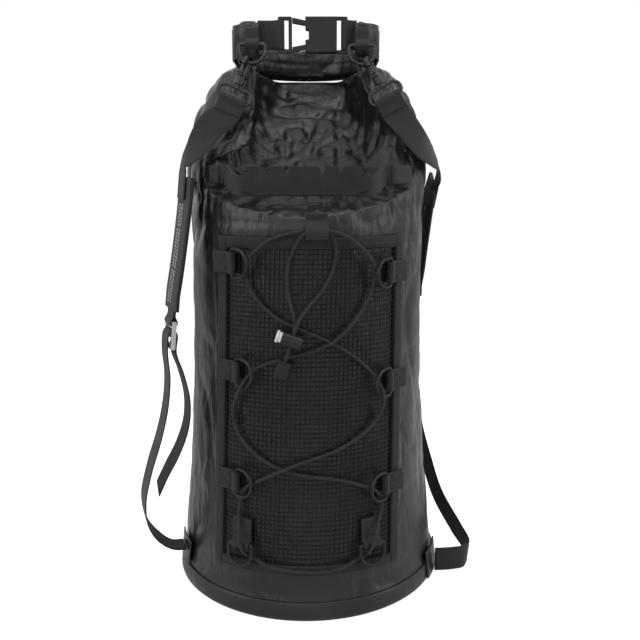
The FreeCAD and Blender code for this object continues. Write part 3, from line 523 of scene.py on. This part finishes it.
def skin_patch(parts, low, high, edges, lift, thick, rows, columns):
    """A thin layer on the bag between two heights; edges gives its first and last angle at a height."""
    rings = []
    uvs = []
    for k in range(rows + 1):
        z = lerp(low, high, k / rows)
        first, last = edges(z)
        ring = []
        uv = []
        for out in (lift + thick, lift):
            for i in range(columns + 1):
                share = i / columns if out > lift else 1 - i / columns
                angle = lerp(first, last, share)
                ring.append(bag_point(z, angle, out))
                uv.append((angle * 12.5, z / 10))
        rings.append(ring)
        uvs.append(uv)
    parts.tube(rings, uvs)


# Camera, lamps and floor

camera = bpy.data.objects.new("camera", bpy.data.cameras.new("camera"))
bpy.context.collection.objects.link(camera)
bpy.context.scene.camera = camera
camera.data.lens = 41.7
camera.data.sensor_width = 36
camera.location = (0.013, -0.756, 0.391)
camera.rotation_euler = Euler((radians(80), 0, 0))


def make_lamp(name, place, target, size, power):
    lamp = bpy.data.objects.new(name, bpy.data.lights.new(name, "AREA"))
    bpy.context.collection.objects.link(lamp)
    lamp.data.shape = "RECTANGLE"
    lamp.data.size = size[0]
    lamp.data.size_y = size[1]
    lamp.data.energy = power
    lamp.location = place
    lamp.rotation_euler = (Vector(target) - Vector(place)).to_track_quat("-Z", "Y").to_euler()


def make_studio():
    make_lamp("lamp_left", (-1.3, -0.7, 0.9), (0, 0, 0.25), (0.9, 1.5), 15)
    make_lamp("lamp_right", (1.4, -0.5, 0.8), (0, 0, 0.25), (0.8, 1.5), 13)
    make_lamp("lamp_top", (0.1, -0.5, 1.8), (0, 0, 0.3), (1.4, 1.0), 16)
    make_lamp("lamp_front", (-0.2, -2.2, 0.9), (0, 0, 0.25), (1.6, 1.2), 10)
    world = bpy.data.worlds.new("studio")
    bpy.context.scene.world = world
    world.use_nodes = True
    tree = world.node_tree
    back = tree.nodes["Background"]
    back.inputs["Color"].default_value = (1, 1, 1, 1)
    path = tree.nodes.new("ShaderNodeLightPath")
    seen = tree.nodes.new("ShaderNodeMath")
    seen.operation = "MAXIMUM"
    tree.links.new(path.outputs["Is Camera Ray"], seen.inputs[0])
    tree.links.new(path.outputs["Is Glossy Ray"], seen.inputs[1])
    level = tree.nodes.new("ShaderNodeMapRange")
    tree.links.new(seen.outputs[0], level.inputs[0])
    level.inputs[3].default_value = 0.45
    level.inputs[4].default_value = 1.0
    tree.links.new(level.outputs[0], back.inputs["Strength"])
    mesh = bpy.data.meshes.new("floor")
    mesh.from_pydata([(-6, -6, 0), (6, -6, 0), (6, 6, 0), (-6, 6, 0)], [], [(0, 1, 2, 3)])
    floor = bpy.data.objects.new("floor", mesh)
    bpy.context.collection.objects.link(floor)
    paper = Finish("floor", (0.9, 0.9, 0.9), 0.9, Emission_Color=(1, 1, 1, 1))
    paper.feed(paper.shader.inputs["Emission Strength"], paper.node("ShaderNodeLightPath", {}) * 0.6)
    mesh.materials.append(paper.material)
    bpy.context.scene.view_settings.view_transform = "Standard"


# Bag body, base and back seam

def crease(x, y, z):
    """A sharp line where a noise field crosses zero, from 0 to 1."""
    value = noise.noise(Vector((x, y, z)))
    return max(0.0, 1.0 - abs(value) * 5.0) ** 1.6


def fabric_fall(p):
    """How far the stuffed fabric lies inside its full outline, in millimetres."""
    x, y, z = p
    angle = atan2(x, -y)
    low, high = panel_angles(min(max(z, PANEL_LOW), PANEL_HIGH))
    behind_panel = low - 0.05 < angle < high + 0.05 and 36 < z < 360
    rumple = 0.5 + 0.5 * noise.noise(Vector((x / 60, y / 60, z / 95)) + Vector((3, 1, 7)))
    fine = 0.5 + 0.5 * noise.noise(Vector((x / 16, y / 16, z / 30)))
    if behind_panel:
        return 0.4 + 0.9 * rumple
    fall = 2.2 * rumple + 0.7 * fine
    fall += 1.7 * crease(x / 46 + 5, y / 46, z / 110)
    fall += 1.3 * crease(x / 90, y / 90 + 2, z / 34 + 4) * (0.4 if z < 330 else 1.0)
    if z > 362 and y < 70:
        strength = min(1.0, (z - 362) / 25)
        fall += strength * 3.4 * crease(x / 15 + 1, y / 60, z / 90 + 2)
        fall += strength * 2.6 * crease(x / 38, y / 26 + 3, z / 26)
    if z < 24:
        fall *= max(0.0, (z - 14) / 10)
    if z > 494:
        fall *= max(0.0, (505 - z) / 11)
    return fall


def make_body():
    mesh = remeshed("body_tube", 3.6, 4)
    for vertex, normal in zip(mesh.vertices, [Vector(v.normal) for v in mesh.vertices]):
        here = Vector(vertex.co) / MM
        vertex.co = (here - normal * fabric_fall(here)) * MM
    body = placed("bag_fabric", mesh, tarpaulin, ["body_tube"])
    softened(body, "SUBSURF", levels=1, render_levels=1)
    seams = Parts()
    skin_patch(seams, 19, 484, lambda z: (pi - 0.105, pi + 0.105), -0.4, 1.3, 90, 6)
    seams.make("weld_seams", smooth_tarpaulin)


def make_base():
    """The round base with its lip welded up round the tube."""
    levels = [(0.0, -16.0), (0.0, -3.2), (0.5, -1.2), (1.8, 0.4), (4.0, 1.15), (10.0, 1.3), (17.2, 1.3),
              (18.0, 0.9), (18.0, 0.2)]
    count = 120
    rings = [[bag_point(max(z, 0.0), 2 * pi * i / count, out) for i in range(count)] for z, out in levels]
    middle = [[p * share for p in rings[0]] for share in (0.02, 0.4, 0.8)]
    for ring in middle:
        for p in ring:
            p.z = 1.2
    rings = middle + rings
    uvs = [[(0.0, 0.0)] * count for _ in rings]
    parts = Parts()
    parts.tube(rings, uvs)
    parts.make("base_cup", smooth_tarpaulin, ["base_panel"])


# Closure: roll, buckle and their webbing

ROLL_MID = 505.3 + 17
ROLL_HALF = 60
ROLL_CORNER = 13.0
BUCKLE_Z = ROLL_MID + 4


def roll_line(out):
    """The roll's line seen from above, moved outwards, as points with the way out."""
    front = Vector((0, -1, 0))
    turned = ROLL_HALF - ROLL_CORNER
    line = [(Vector((-43, -ROLL_HALF, 0)), front), (Vector((-47, -ROLL_HALF, 0)), front)]
    for i in range(7):
        turn = pi / 2 * i / 6
        way = Vector((-sin(turn), -cos(turn), 0))
        line.append((Vector((-turned, -turned, 0)) + way * ROLL_CORNER, way))
    for i in range(1, 16):
        line.append((Vector((-ROLL_HALF, lerp(-turned, 20, i / 16), 0)), Vector((-1, 0, 0))))
    for i in range(33):
        turn = pi * i / 32
        way = Vector((-cos(turn), sin(turn), 0))
        line.append((Vector((0, 20, 0)) + way * ROLL_HALF, way))
    for i in range(1, 16):
        line.append((Vector((ROLL_HALF, lerp(20, -turned, i / 16), 0)), Vector((1, 0, 0))))
    for i in range(7):
        turn = pi / 2 * (1 - i / 6)
        way = Vector((sin(turn), -cos(turn), 0))
        line.append((Vector((turned, -turned, 0)) + way * ROLL_CORNER, way))
    line.append((Vector((46, -ROLL_HALF, 0)), front))
    return [(p + way * out, way) for p, way in line]


def make_roll():
    mesh = remeshed("roll_closure", 1.7, 5)
    for vertex, normal in zip(mesh.vertices, [Vector(v.normal) for v in mesh.vertices]):
        here = Vector(vertex.co) / MM
        fall = 0.8 + 0.8 * noise.noise(here / 22)
        around = atan2(here.x, -here.y) * 60
        fall += 1.5 * crease(around / 26, here.z / 60, 1.0)
        fall += 0.8 * crease(around / 60, here.z / 9 + normal.y, 5.0)
        vertex.co = (here - normal * max(0.0, fall)) * MM
    placed("rolled_top", mesh, tarpaulin, ["roll_closure"])
    laps = Parts()
    up = Vector((0, 0, 1))
    for low, high, out in ((-15.5, 9.5, 7.1), (-15.5, 13.6, 6.4)):
        rings = []
        uvs = []
        for k, (p, way) in enumerate(roll_line(out)):
            wave = 0.9 * noise.noise(Vector((k / 4, high, 0)))
            edge = high + 1.6 * noise.noise(Vector((k / 7, 3, high)))
            rings.append([p + up * (ROLL_MID + low), p + up * (ROLL_MID + edge - 1.5) + way * wave * 0.3,
                          p + up * (ROLL_MID + edge) + way * 0.2, p + up * (ROLL_MID + edge) - way * 0.9,
                          p + up * (ROLL_MID + low) - way * 0.9])
            uvs.append([(0.0, k / 2.5)] * 5)
        laps.tube(rings, uvs)
    for x, way in ((-43.0, 1), (46.0, -1)):
        rows = []
        for i in range(61):
            turn = 2 * pi * 2.6 * i / 60
            shrink = 1 - 0.30 * turn / (2 * pi)
            tall = (15.6 - 5.9 * (1 - shrink)) * (0.35 + 0.65 * shrink)
            y = 5.9 * shrink * copysign(abs(cos(turn)) ** 0.8, cos(turn))
            z = tall * copysign(abs(sin(turn)) ** 0.9, sin(turn))
            rows.append((x - way * 0.6, y - ROLL_HALF, ROLL_MID + z, 1, 0, 0))
        laps.strap(rows, 4.2, 0.9, step=2.0)
    laps.make("roll_layers", smooth_tarpaulin)


def looped(origin, x_dir, z_dir, hole, length, thick, seated=False):
    """The line of webbing that goes round a bar and is sewn to itself, as rows for a strap."""
    x = Vector(x_dir).normalized()
    z = Vector(z_dir).normalized()
    z = (z - x * z.dot(x)).normalized()
    y = z.cross(x)
    radius = hole + thick / 2
    middle = -radius + thick / 2 if seated else 0.0
    neck = 1.9 * radius
    low = middle - thick / 2
    high = middle + thick / 2
    line = [(-length, low), (-0.5 * (length + neck), low), (-neck, low)]
    line += [] if seated else [(-0.75 * radius, -0.72 * radius)]
    line += [(radius * cos(a), radius * sin(a)) for a in (radians(d) for d in (-90, -60, -30, 0, 30, 60, 90))]
    line += [(-0.85 * radius, 0.68 * radius), (-neck, high), (-0.5 * (length + neck), high), (-length, high)]
    start = Vector(origin)
    return [(*(start + x * a + y * b), *z) for a, b in line]


def make_closure():
    up = Vector((0, 0, 1))
    front = Vector((0, -1, 0))
    for name, origin, way, length in (("left", (-23, -ROLL_HALF, BUCKLE_Z), (1, 0, 0), 19.7),
                                      ("right", (36, -ROLL_HALF, BUCKLE_Z), (-1, 0, 0), 9.7)):
        parts = Parts()
        rows = looped(origin, way, up, 2.9, length, WEB_THICK)
        parts.strap(rows, WEB_WIDTH, WEB_THICK, step=1.5)
        end = Vector(origin) - Vector(way) * (length - 3.5)
        parts.stitches(cross_stitches(end + front * 1.55, Vector(way), up, front, 4.0, 20))
        parts.make("closure_webbing_" + name + "_woven", webbing, ["closure_webbing_" + name])
    for name in ("buckle_socket", "buckle_plug", "buckle_arm_upper", "buckle_arm_lower"):
        bevelled(name, buckle_plastic, 0.5)
    dress("stiffener_strip", strip_plastic)


# Netting panel with its tape, rings and tabs

def make_netting():
    columns = 42
    rows = 70
    points = []
    faces = []
    for k in range(rows + 1):
        z = lerp(45, 349, k / rows)
        low, high = panel_angles(z, -1.5)
        for i in range(columns + 1):
            sway = 0.22 * noise.noise(Vector((i / 5, k / 6, 2)))
            points.append(bag_point(z + sway, lerp(low, high, i / columns) + sway * 0.003, 0.75 + 0.2 * sway))
    for k in range(rows):
        for i in range(columns):
            a = k * (columns + 1) + i
            faces.append((a, a + 1, a + columns + 2, a + columns + 1))
    made = piece("netting", points, faces, netting, ["mesh_panel"])
    softened(made, "WIREFRAME", thickness=1.15 * MM, use_even_offset=False, offset=0.0)


def make_binding():
    parts = Parts()
    lift = 1.6
    ends = (PANEL_LOW, PANEL_HIGH)
    skin_patch(parts, *ends, lambda z: (panel_angles(z)[0], panel_angles(z, -10)[0]), lift, 0.9, 60, 3)
    skin_patch(parts, *ends, lambda z: (panel_angles(z, -10)[1], panel_angles(z)[1]), lift, 0.9, 60, 3)
    for low, high in ((PANEL_LOW, PANEL_LOW + 10), (PANEL_HIGH - 10, PANEL_HIGH)):
        skin_patch(parts, low, high, lambda z: panel_angles(z, -9.6), lift - 0.05, 0.9, 3, 60)
    parts.make("edge_tape", tape, ["panel_binding"])
    spots = []
    for more in (-1.8, -8.2):
        for side in (0, 1):
            z = 46.0
            while z < 348:
                angle = panel_angles(z, more)[side]
                spots.append((bag_point(z, angle, lift + 0.85), Vector((0, 0, 2.2)), bag_out(z, angle)))
                z += 3.3
    for z in (44.9, 51.2, 342.8, 349.2):
        first, last = panel_angles(z, -3)
        count = round((last - first) * 125 / 3.3)
        for i in range(count):
            angle = lerp(first, last, (i + 0.5) / count)
            run = (bag_point(z, angle + 0.01) - bag_point(z, angle - 0.01)).normalized() * 2.2
            spots.append((bag_point(z, angle, lift + 0.85), run, bag_out(z, angle)))
    sewn = Parts()
    sewn.stitches(spots)
    sewn.make("edge_stitches", thread)


# Each ring's bar, the way its tab points and the bar's direction
RING_TABS = (
    ((-64.0, -112.4, 327.8), (0.78, -0.626, 0.0), (0.024, 0.029, -0.999)),
    ((-62.0, -110.7, 230.0), (0.808, -0.589, 0.0), (-0.001, -0.002, -1.0)),
    ((-64.0, -112.8, 127.3), (0.821, -0.572, 0.0), (-0.024, -0.035, -0.999)),
    ((-60.0, -119.4, 69.5), (-0.037, -0.074, -0.997), (-0.895, 0.447, 0.0)),
    ((76.0, -103.0, 318.8), (-0.701, -0.713, 0.0), (0.022, -0.021, 1.0)),
    ((77.0, -100.4, 219.1), (-0.717, -0.697, 0.0), (-0.006, 0.006, 1.0)),
    ((74.0, -106.8, 121.3), (-0.767, -0.642, 0.0), (-0.029, 0.034, 0.999)),
    ((61.0, -118.9, 69.5), (0.038, -0.074, -0.997), (-0.891, -0.454, 0.0)),
)


def make_tabs():
    parts = Parts()
    sewn = Parts()
    tabs = [row + (1.98, 24) for row in RING_TABS] + [((10.5, -134.9, 355.3), (-0.008, 0.09, -0.996),
                                                      (-0.996, -0.091, 0.0), 4.4, 16)]
    for origin, x_dir, z_dir, hole, length in tabs:
        parts.strap(looped(origin, x_dir, z_dir, hole, length, 1.2, True), 19, 1.2, step=1.5)
        x = Vector(x_dir).normalized()
        z = Vector(z_dir).normalized()
        out = z.cross(x)
        top = Vector(origin) + out * (1.25 - hole)
        reach = length - 2.4 * (hole + 1.2) - 2
        middle = top - x * (length - 1.5 - reach / 2)
        sewn.stitches(cross_stitches(middle, x, z, out, reach, 14.5))
    parts.make("sewn_tabs", webbing, ["ring_tabs", "top_loop"])
    sewn.make("tab_stitches", thread)
    for name in cad:
        if name.startswith("ring_") and name != "ring_tabs":
            rounded(name, ring_plastic, 0.45)


# Shock cord and its lock

CORD_ROUTE = (
    (-17.0, -134.1, 244.7), (-7.8, -135.3, 273.3), (-4.0, -134.5, 283.0), (4.0, -131.0, 293.0),
    (14.0, -127.3, 304.0), (22.1, -125.7, 317.0), (26.6, -125.8, 331.0), (27.0, -128.2, 345.0),
    (22.0, -131.1, 355.4), (10.0, -133.0, 357.0), (-3.0, -133.3, 356.4), (-17.0, -130.4, 353.6),
    (-31.0, -127.0, 348.5), (-42.1, -128.8, 340.0), (-50.4, -121.0, 329.2), (-52.2, -115.6, 317.0),
    (-47.1, -116.8, 304.0), (-38.1, -120.0, 291.5), (-23.0, -123.5, 279.5), (-6.0, -125.3, 271.5),
    (12.0, -124.8, 264.5), (30.0, -121.3, 255.5), (46.1, -115.6, 243.0), (58.6, -109.2, 230.5),
    (67.1, -109.9, 219.0), (71.8, -115.2, 206.0), (68.0, -106.2, 191.0), (60.1, -109.2, 179.0),
    (44.1, -117.5, 167.5), (24.0, -123.5, 158.5), (4.0, -126.0, 152.5), (-14.0, -128.4, 146.5),
    (-29.0, -127.9, 140.0), (-41.2, -125.7, 133.3), (-53.4, -118.1, 125.9), (-59.5, -112.1, 113.5),
    (-61.6, -115.4, 100.6), (-61.6, -120.0, 87.0), (-60.6, -126.9, 73.8), (-57.6, -123.6, 62.1),
    (-47.3, -122.5, 56.6), (-32.1, -133.4, 53.0), (-13.0, -133.4, 49.5), (8.0, -133.9, 48.5),
    (29.2, -134.6, 50.5), (49.5, -122.0, 57.1), (58.6, -123.0, 62.1), (62.6, -126.0, 73.8),
    (66.1, -117.9, 86.9), (69.5, -111.9, 98.2), (70.2, -105.8, 108.1), (64.5, -112.4, 119.4),
    (52.2, -122.1, 126.9), (39.5, -123.3, 131.0), (23.0, -124.3, 134.5), (4.0, -126.5, 137.0),
    (-16.0, -125.3, 140.5), (-34.1, -121.4, 147.5), (-50.1, -115.1, 158.0), (-62.1, -108.3, 171.5),
    (-67.1, -104.2, 187.5), (-64.0, -109.2, 203.0), (-58.4, -120.6, 216.8), (-51.1, -118.1, 228.5),
    (-40.6, -117.5, 237.0), (-25.1, -122.4, 243.0), (-7.0, -124.9, 248.0), (10.0, -126.7, 253.0),
    (25.0, -126.0, 260.0), (38.0, -120.7, 271.0), (49.6, -114.7, 285.0), (56.1, -112.0, 299.0),
    (59.7, -112.0, 310.5), (61.7, -114.8, 322.1), (56.7, -123.2, 333.5), (47.1, -123.7, 343.5),
    (36.0, -127.7, 352.0), (24.0, -134.2, 356.8), (11.0, -136.6, 357.4), (0.0, -136.6, 355.6),
    (-8.0, -131.3, 344.5), (-13.5, -128.1, 330.0), (-15.6, -126.9, 314.0), (-14.0, -127.7, 299.0),
    (-9.5, -130.8, 285.5), (-7.5, -132.0, 273.3), (-16.7, -130.8, 244.8),
)


def make_cord():
    curve = bpy.data.curves.new("laced_cord", "CURVE")
    curve.dimensions = "3D"
    curve.bevel_depth = 1.5 * MM
    curve.bevel_resolution = 4
    curve.resolution_u = 8
    curve.use_fill_caps = True
    spline = curve.splines.new("NURBS")
    spline.points.add(len(CORD_ROUTE) - 1)
    for spot, (x, y, z) in zip(spline.points, CORD_ROUTE):
        spot.co = (x * MM, y * MM, z * MM, 1.0)
    spline.order_u = 3
    spline.use_endpoint_u = True
    curve.materials.append(braid)
    cord = bpy.data.objects.new("laced_cord", curve)
    bpy.context.collection.objects.link(cord)
    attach(cord, "bag")
    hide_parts("shock_cord")


LOCK_SEAT = Vector((-11.05, -133.21, 262.84))
LOCK_AXIS = Vector((0.9477, -0.0804, -0.309)).normalized()
LOCK_OUT = Vector((-0.0889, -0.996, -0.0134)).normalized()
COIL_CORNERS = (0, 1.05, 2.09, 3.14, 4.19, 5.24)


def make_lock():
    bevelled("cord_lock_barrel", lock_plastic, 0.35)
    bevelled("cord_lock_plunger", plunger_plastic, 0.3)
    bevelled("cord_clamp", lock_plastic, 0.7, 3)
    side = LOCK_AXIS.cross(LOCK_OUT).normalized()
    out = side.cross(LOCK_AXIS)
    rings = []
    uvs = []
    for i in range(97):
        turn = 2 * pi * 4 * i / 96
        way = out * cos(turn) + side * sin(turn)
        centre = LOCK_SEAT + LOCK_AXIS * lerp(3.5, 6.8, i / 96) + way * 3.9
        rings.append([centre + way * (0.35 * cos(a)) + LOCK_AXIS * (0.35 * sin(a)) for a in COIL_CORNERS])
        uvs.append([(0.0, i / 10)] * 6)
    coil = Parts()
    coil.tube(rings, uvs)
    coil.make("lock_coil", spring_steel, ["cord_lock_spring"], "cord_lock")


# Carrying handle

HANDLE_ROWS = (
    (-76.0, -86.0, 404.0, 0, 0, 1), (-71.5, -86.0, 404.0, 0.1, -0.1, 0.98),
    (-62.0, -102.0, 396.0, 0.1, -0.15, 0.97), (-56.5, -107.0, 394.0, 0, 0, 1),
    (-30.0, -107.0, 394.0, 0, 0, 1), (30.0, -107.0, 394.0, 0, 0, 1), (56.5, -107.0, 394.0, 0, 0, 1),
    (62.0, -102.0, 396.0, -0.1, -0.15, 0.97), (71.5, -86.0, 404.0, -0.1, -0.1, 0.98),
    (76.0, -86.0, 404.0, 0, 0, 1),
)


def make_handle():
    parts = Parts()
    parts.strap(HANDLE_ROWS, 18, 2.0, step=2.5)
    parts.make("handle_webbing", webbing, ["handle_strap"], "handle")
    bevelled("handle_grip", grip_rubber, 0.8, 3)
    anchors = Parts()
    for side, x, y in ((-1, 85.2, -80.6), (1, 95.5, -69.2)):
        route = ((76.3, -86.0), (78.8, -86.0), (x, y))
        anchors.strap([(side * a, b, 404.0, 0, 0, 1) for a, b in route], 16, 2.4, step=1.5)
    anchors.make("handle_anchor_webbing", webbing, ["handle_anchor_left", "handle_anchor_right"])


# Shoulder straps: each row is a point and the way across the strap there

LEFT_UPPER = (
    (-67.3, -75.6, 462.9, -0.93, 0.0, 0.38), (-69.2, -76.5, 458.4, -0.72, 0.07, 0.69),
    (-84.0, -79.5, 446.0, -0.73, 0.1, 0.67), (-97.5, -80.0, 428.0, -0.61, 0.54, 0.58),
    (-109.9, -74.6, 414.3, -0.22, 0.9, 0.37), (-110.7, -74.6, 407.4, -0.4, 0.92, 0.04),
    (-113.4, -74.6, 382.5, -0.4, 0.92, 0.04),
)
LEFT_PAD = (
    (-107.5, -73.0, 402.0, -0.4, 0.92, 0.04), (-110.5, -73.0, 375.0, -0.39, 0.92, 0.05),
    (-115.0, -73.0, 345.0, -0.39, 0.92, 0.06), (-120.0, -73.0, 315.0, -0.39, 0.92, 0.08),
    (-123.8, -72.3, 295.2, -0.39, 0.92, 0.07), (-125.2, -72.5, 281.3, -0.4, 0.92, 0.02),
)
LEFT_LOWER = (
    (-126.3, -44.1, 31.0, -0.33, 0.94, 0.0), (-138.0, -48.2, 33.0, -0.28, 0.96, -0.03),
    (-151.0, -51.0, 43.0, -0.23, 0.97, 0.01), (-161.0, -54.0, 60.0, -0.34, 0.94, 0.06),
    (-163.0, -58.0, 86.0, -0.39, 0.9, 0.17), (-155.0, -63.0, 120.0, -0.35, 0.91, 0.23),
    (-143.0, -68.0, 156.0, -0.34, 0.91, 0.23), (-135.0, -72.0, 187.0, -0.37, 0.91, 0.16),
    (-131.5, -74.0, 217.0, -0.4, 0.92, 0.06), (-132.8, -74.9, 242.5, -0.4, 0.92, 0.02),
    (-131.2, -74.6, 258.4, -0.4, 0.92, 0.02), (-129.0, -73.7, 261.7, -0.4, 0.92, 0.0),
    (-127.1, -72.9, 262.1, -0.4, 0.92, 0.0), (-125.3, -72.1, 261.3, -0.4, 0.92, 0.01),
    (-123.8, -71.4, 257.6, -0.4, 0.92, 0.02), (-125.4, -71.7, 241.7, -0.4, 0.92, 0.01),
    (-119.5, -69.0, 220.0, -0.4, 0.91, 0.02), (-115.0, -66.0, 194.0, -0.4, 0.91, 0.07),
    (-117.0, -64.0, 168.0, -0.37, 0.92, 0.15), (-126.0, -62.0, 142.0, -0.31, 0.92, 0.24),
    (-139.0, -58.0, 117.0, -0.27, 0.92, 0.3), (-149.0, -54.0, 96.0, -0.28, 0.91, 0.31),
)
RIGHT_UPPER = (
    (77.0, -70.9, 464.9, 0.87, 0.0, 0.5), (79.5, -70.7, 460.5, 0.79, -0.01, 0.62),
    (91.0, -70.0, 447.0, 0.64, 0.35, 0.68), (104.0, -62.0, 433.0, 0.38, 0.35, 0.86),
    (117.0, -42.0, 424.0, -0.02, 0.35, 0.94), (126.0, -21.0, 418.0, -0.21, 0.49, 0.85),
    (131.4, -3.8, 405.6, 0.0, 0.66, 0.75), (130.6, -0.1, 399.7, 0.05, 0.84, 0.54),
    (128.0, 13.5, 378.9, -0.02, 0.84, 0.55),
)
RIGHT_PAD = (
    (126.0, 2.5, 396.0, 0.05, 0.85, 0.53), (123.0, 17.8, 372.0, -0.06, 0.86, 0.51),
    (120.0, 33.1, 344.0, -0.16, 0.86, 0.49), (117.3, 48.5, 316.0, -0.26, 0.83, 0.49),
    (114.3, 63.8, 289.4, -0.36, 0.87, 0.35), (114.3, 63.8, 275.4, -0.36, 0.93, 0.0),
)
RIGHT_LOWER = (
    (132.0, -42.0, 13.6, 0.0, 0.0, -1.0), (140.0, -41.5, 13.6, 0.0, 0.0, -1.0),
    (150.0, -40.0, 13.6, 0.0, 0.0, -1.0), (163.0, -35.0, 13.6, 0.07, 0.06, -1.0),
    (170.0, -22.0, 16.0, 0.0, 0.48, -0.88), (160.0, -3.0, 31.0, -0.2, 0.61, -0.76),
    (143.5, 21.5, 58.0, -0.24, 0.69, -0.69), (134.1, 44.9, 88.0, -0.3, 0.79, -0.54),
    (125.5, 60.0, 125.0, -0.27, 0.91, -0.32), (119.3, 67.3, 165.0, -0.36, 0.92, -0.15),
    (116.9, 70.2, 205.0, -0.36, 0.93, 0.02), (118.1, 65.3, 236.0, -0.36, 0.93, 0.1),
    (118.1, 65.3, 252.0, -0.36, 0.93, 0.0), (116.2, 64.6, 255.5, -0.36, 0.93, 0.0),
    (114.3, 63.8, 256.1, -0.36, 0.93, 0.0), (112.3, 63.1, 255.5, -0.36, 0.93, 0.0),
    (110.4, 62.4, 252.0, -0.36, 0.93, 0.0), (110.4, 62.4, 236.0, -0.35, 0.91, 0.21),
    (107.8, 71.2, 210.0, -0.41, 0.87, 0.27), (105.7, 77.6, 180.0, -0.46, 0.87, 0.18),
    (104.8, 81.6, 150.0, -0.49, 0.87, 0.09), (105.1, 83.3, 122.0, -0.5, 0.86, 0.05),
)

# The swivel's bar with the way back along its strap and the bar's direction, the same for the adjuster,
# and the middle of the bar that the roll's ring hangs from
STRAPS = {
    "left": (LEFT_UPPER, LEFT_PAD, LEFT_LOWER,
             (-64.7, -74.4, 469.3), (0.373, 0.175, 0.911), (0.925, 0.0, -0.379),
             (-126.4, -72.8, 269.3), (-0.1, -0.02, -0.995), (-0.4, 0.917, 0.0), (-47.0, -70.5, 517.0)),
    "right": (RIGHT_UPPER, RIGHT_PAD, RIGHT_LOWER,
              (73.5, -71.2, 470.9), (-0.5, -0.04, 0.865), (0.866, 0.0, 0.501),
              (114.3, 63.8, 263.4), (0.0, 0.0, -1.0), (-0.358, 0.934, 0.0), (50.0, -70.5, 516.0)),
}


def make_edge(name, rows, shift):
    """Piping along a pad's edge."""
    curve = bpy.data.curves.new(name, "CURVE")
    curve.dimensions = "3D"
    curve.bevel_depth = 1.9 * MM
    curve.bevel_resolution = 3
    curve.use_fill_caps = True
    spline = curve.splines.new("NURBS")
    found = stations(rows, 8.0)
    spline.points.add(len(found) - 1)
    for spot, (point, across, out, length) in zip(spline.points, found):
        spot.co = (*((point + across * shift) * MM), 1.0)
    spline.order_u = 3
    spline.use_endpoint_u = True
    curve.materials.append(tape)
    made = bpy.data.objects.new(name, curve)
    bpy.context.collection.objects.link(made)
    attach(made, "bag")


def make_strap(side):
    upper, pad, lower, swivel, up_way, bar, hold, down_way, wide, roll_bar = STRAPS[side]
    parts = Parts()
    parts.strap(looped(swivel, up_way, bar, 1.87, 13, WEB_THICK), 24.4, WEB_THICK, step=1.5)
    parts.strap(upper, WEB_WIDTH, WEB_THICK, step=2.5)
    length = stations(upper, 1.5)[-1][3]
    for shift in WEB_SEAMS:
        for face in (WEB_FACE, -WEB_FACE):
            parts.stitches(seam_rows(upper, shift, face, length - 24, length - 2))
    parts.make(side + "_upper_webbing", webbing, [side + "_upper_strap"])

    cushion = Parts()
    cushion.strap(pad, PAD_WIDTH, PAD_THICK, crown=1.0, step=2.0)
    made = cushion.make(side + "_pad_cushion", air_mesh, [side + "_pad"])
    make_edge(side + "_pad_edge_front", pad, -PAD_PIPING)
    make_edge(side + "_pad_edge_back", pad, PAD_PIPING)
    lines = Parts()
    total = stations(pad, 1.5)[-1][3]
    for shift in (-6.0, -3.0, 3.0, 6.0):
        for face in (2.95, -2.95):
            lines.stitches(seam_rows(pad, shift, face, 26, total - 4, 3.2, 0.85), 0.7, 0.3)
    lines.make(side + "_pad_lines", shiny_thread)

    loop = Parts()
    loop.strap(looped(hold, down_way, wide, 2.65, 12.2, WEB_THICK), WEB_WIDTH, WEB_THICK, step=1.5)
    loop.make(side + "_pad_loop_woven", webbing, [side + "_pad_loop"])
    bevelled(side + "_adjuster", adjuster_plastic, 0.5)

    long = Parts()
    found = long.strap(lower, WEB_WIDTH, WEB_THICK, step=2.5)
    total = found[-1][3]
    for shift in WEB_SEAMS:
        for face in (WEB_FACE, -WEB_FACE):
            long.stitches(seam_rows(lower, shift, face, 2, 12))
            long.stitches(seam_rows(lower, shift, face, total - 14, total - 2))
    long.make(side + "_lower_webbing", webbing, [side + "_lower_strap"])

    hang = Parts()
    hang.strap(looped(roll_bar, (0, 0, -1), (-1, 0, 0), 1.98, 14, 1.2, True), 12, 1.2, step=1.5)
    hang.make(side + "_roll_tab_woven", webbing, [side + "_roll_tab"])
    for name in ("_roll_ring", "_hook", "_hook_gate", "_swivel_loop"):
        rounded(side + name, hook_metal, 0.3)


def make_foot_patches():
    for side, angle, low, high, lift in (("left", -70.5, 20.0, 42.0, 0.3), ("right", 71.5, 3.0, 30.0, 1.6)):
        parts = Parts()
        edges = (radians(angle - 8.5), radians(angle + 8.5))
        skin_patch(parts, low, high, lambda z: edges, lift, 1.5, 8, 10)
        parts.make(side + "_foot_patch_welded", smooth_tarpaulin, [side + "_foot_patch"])


make_studio()
make_cord()
make_body()
make_base()
make_roll()
make_closure()
make_netting()
make_binding()
make_tabs()
make_lock()
make_handle()
make_strap("left")
make_strap("right")
make_foot_patches()
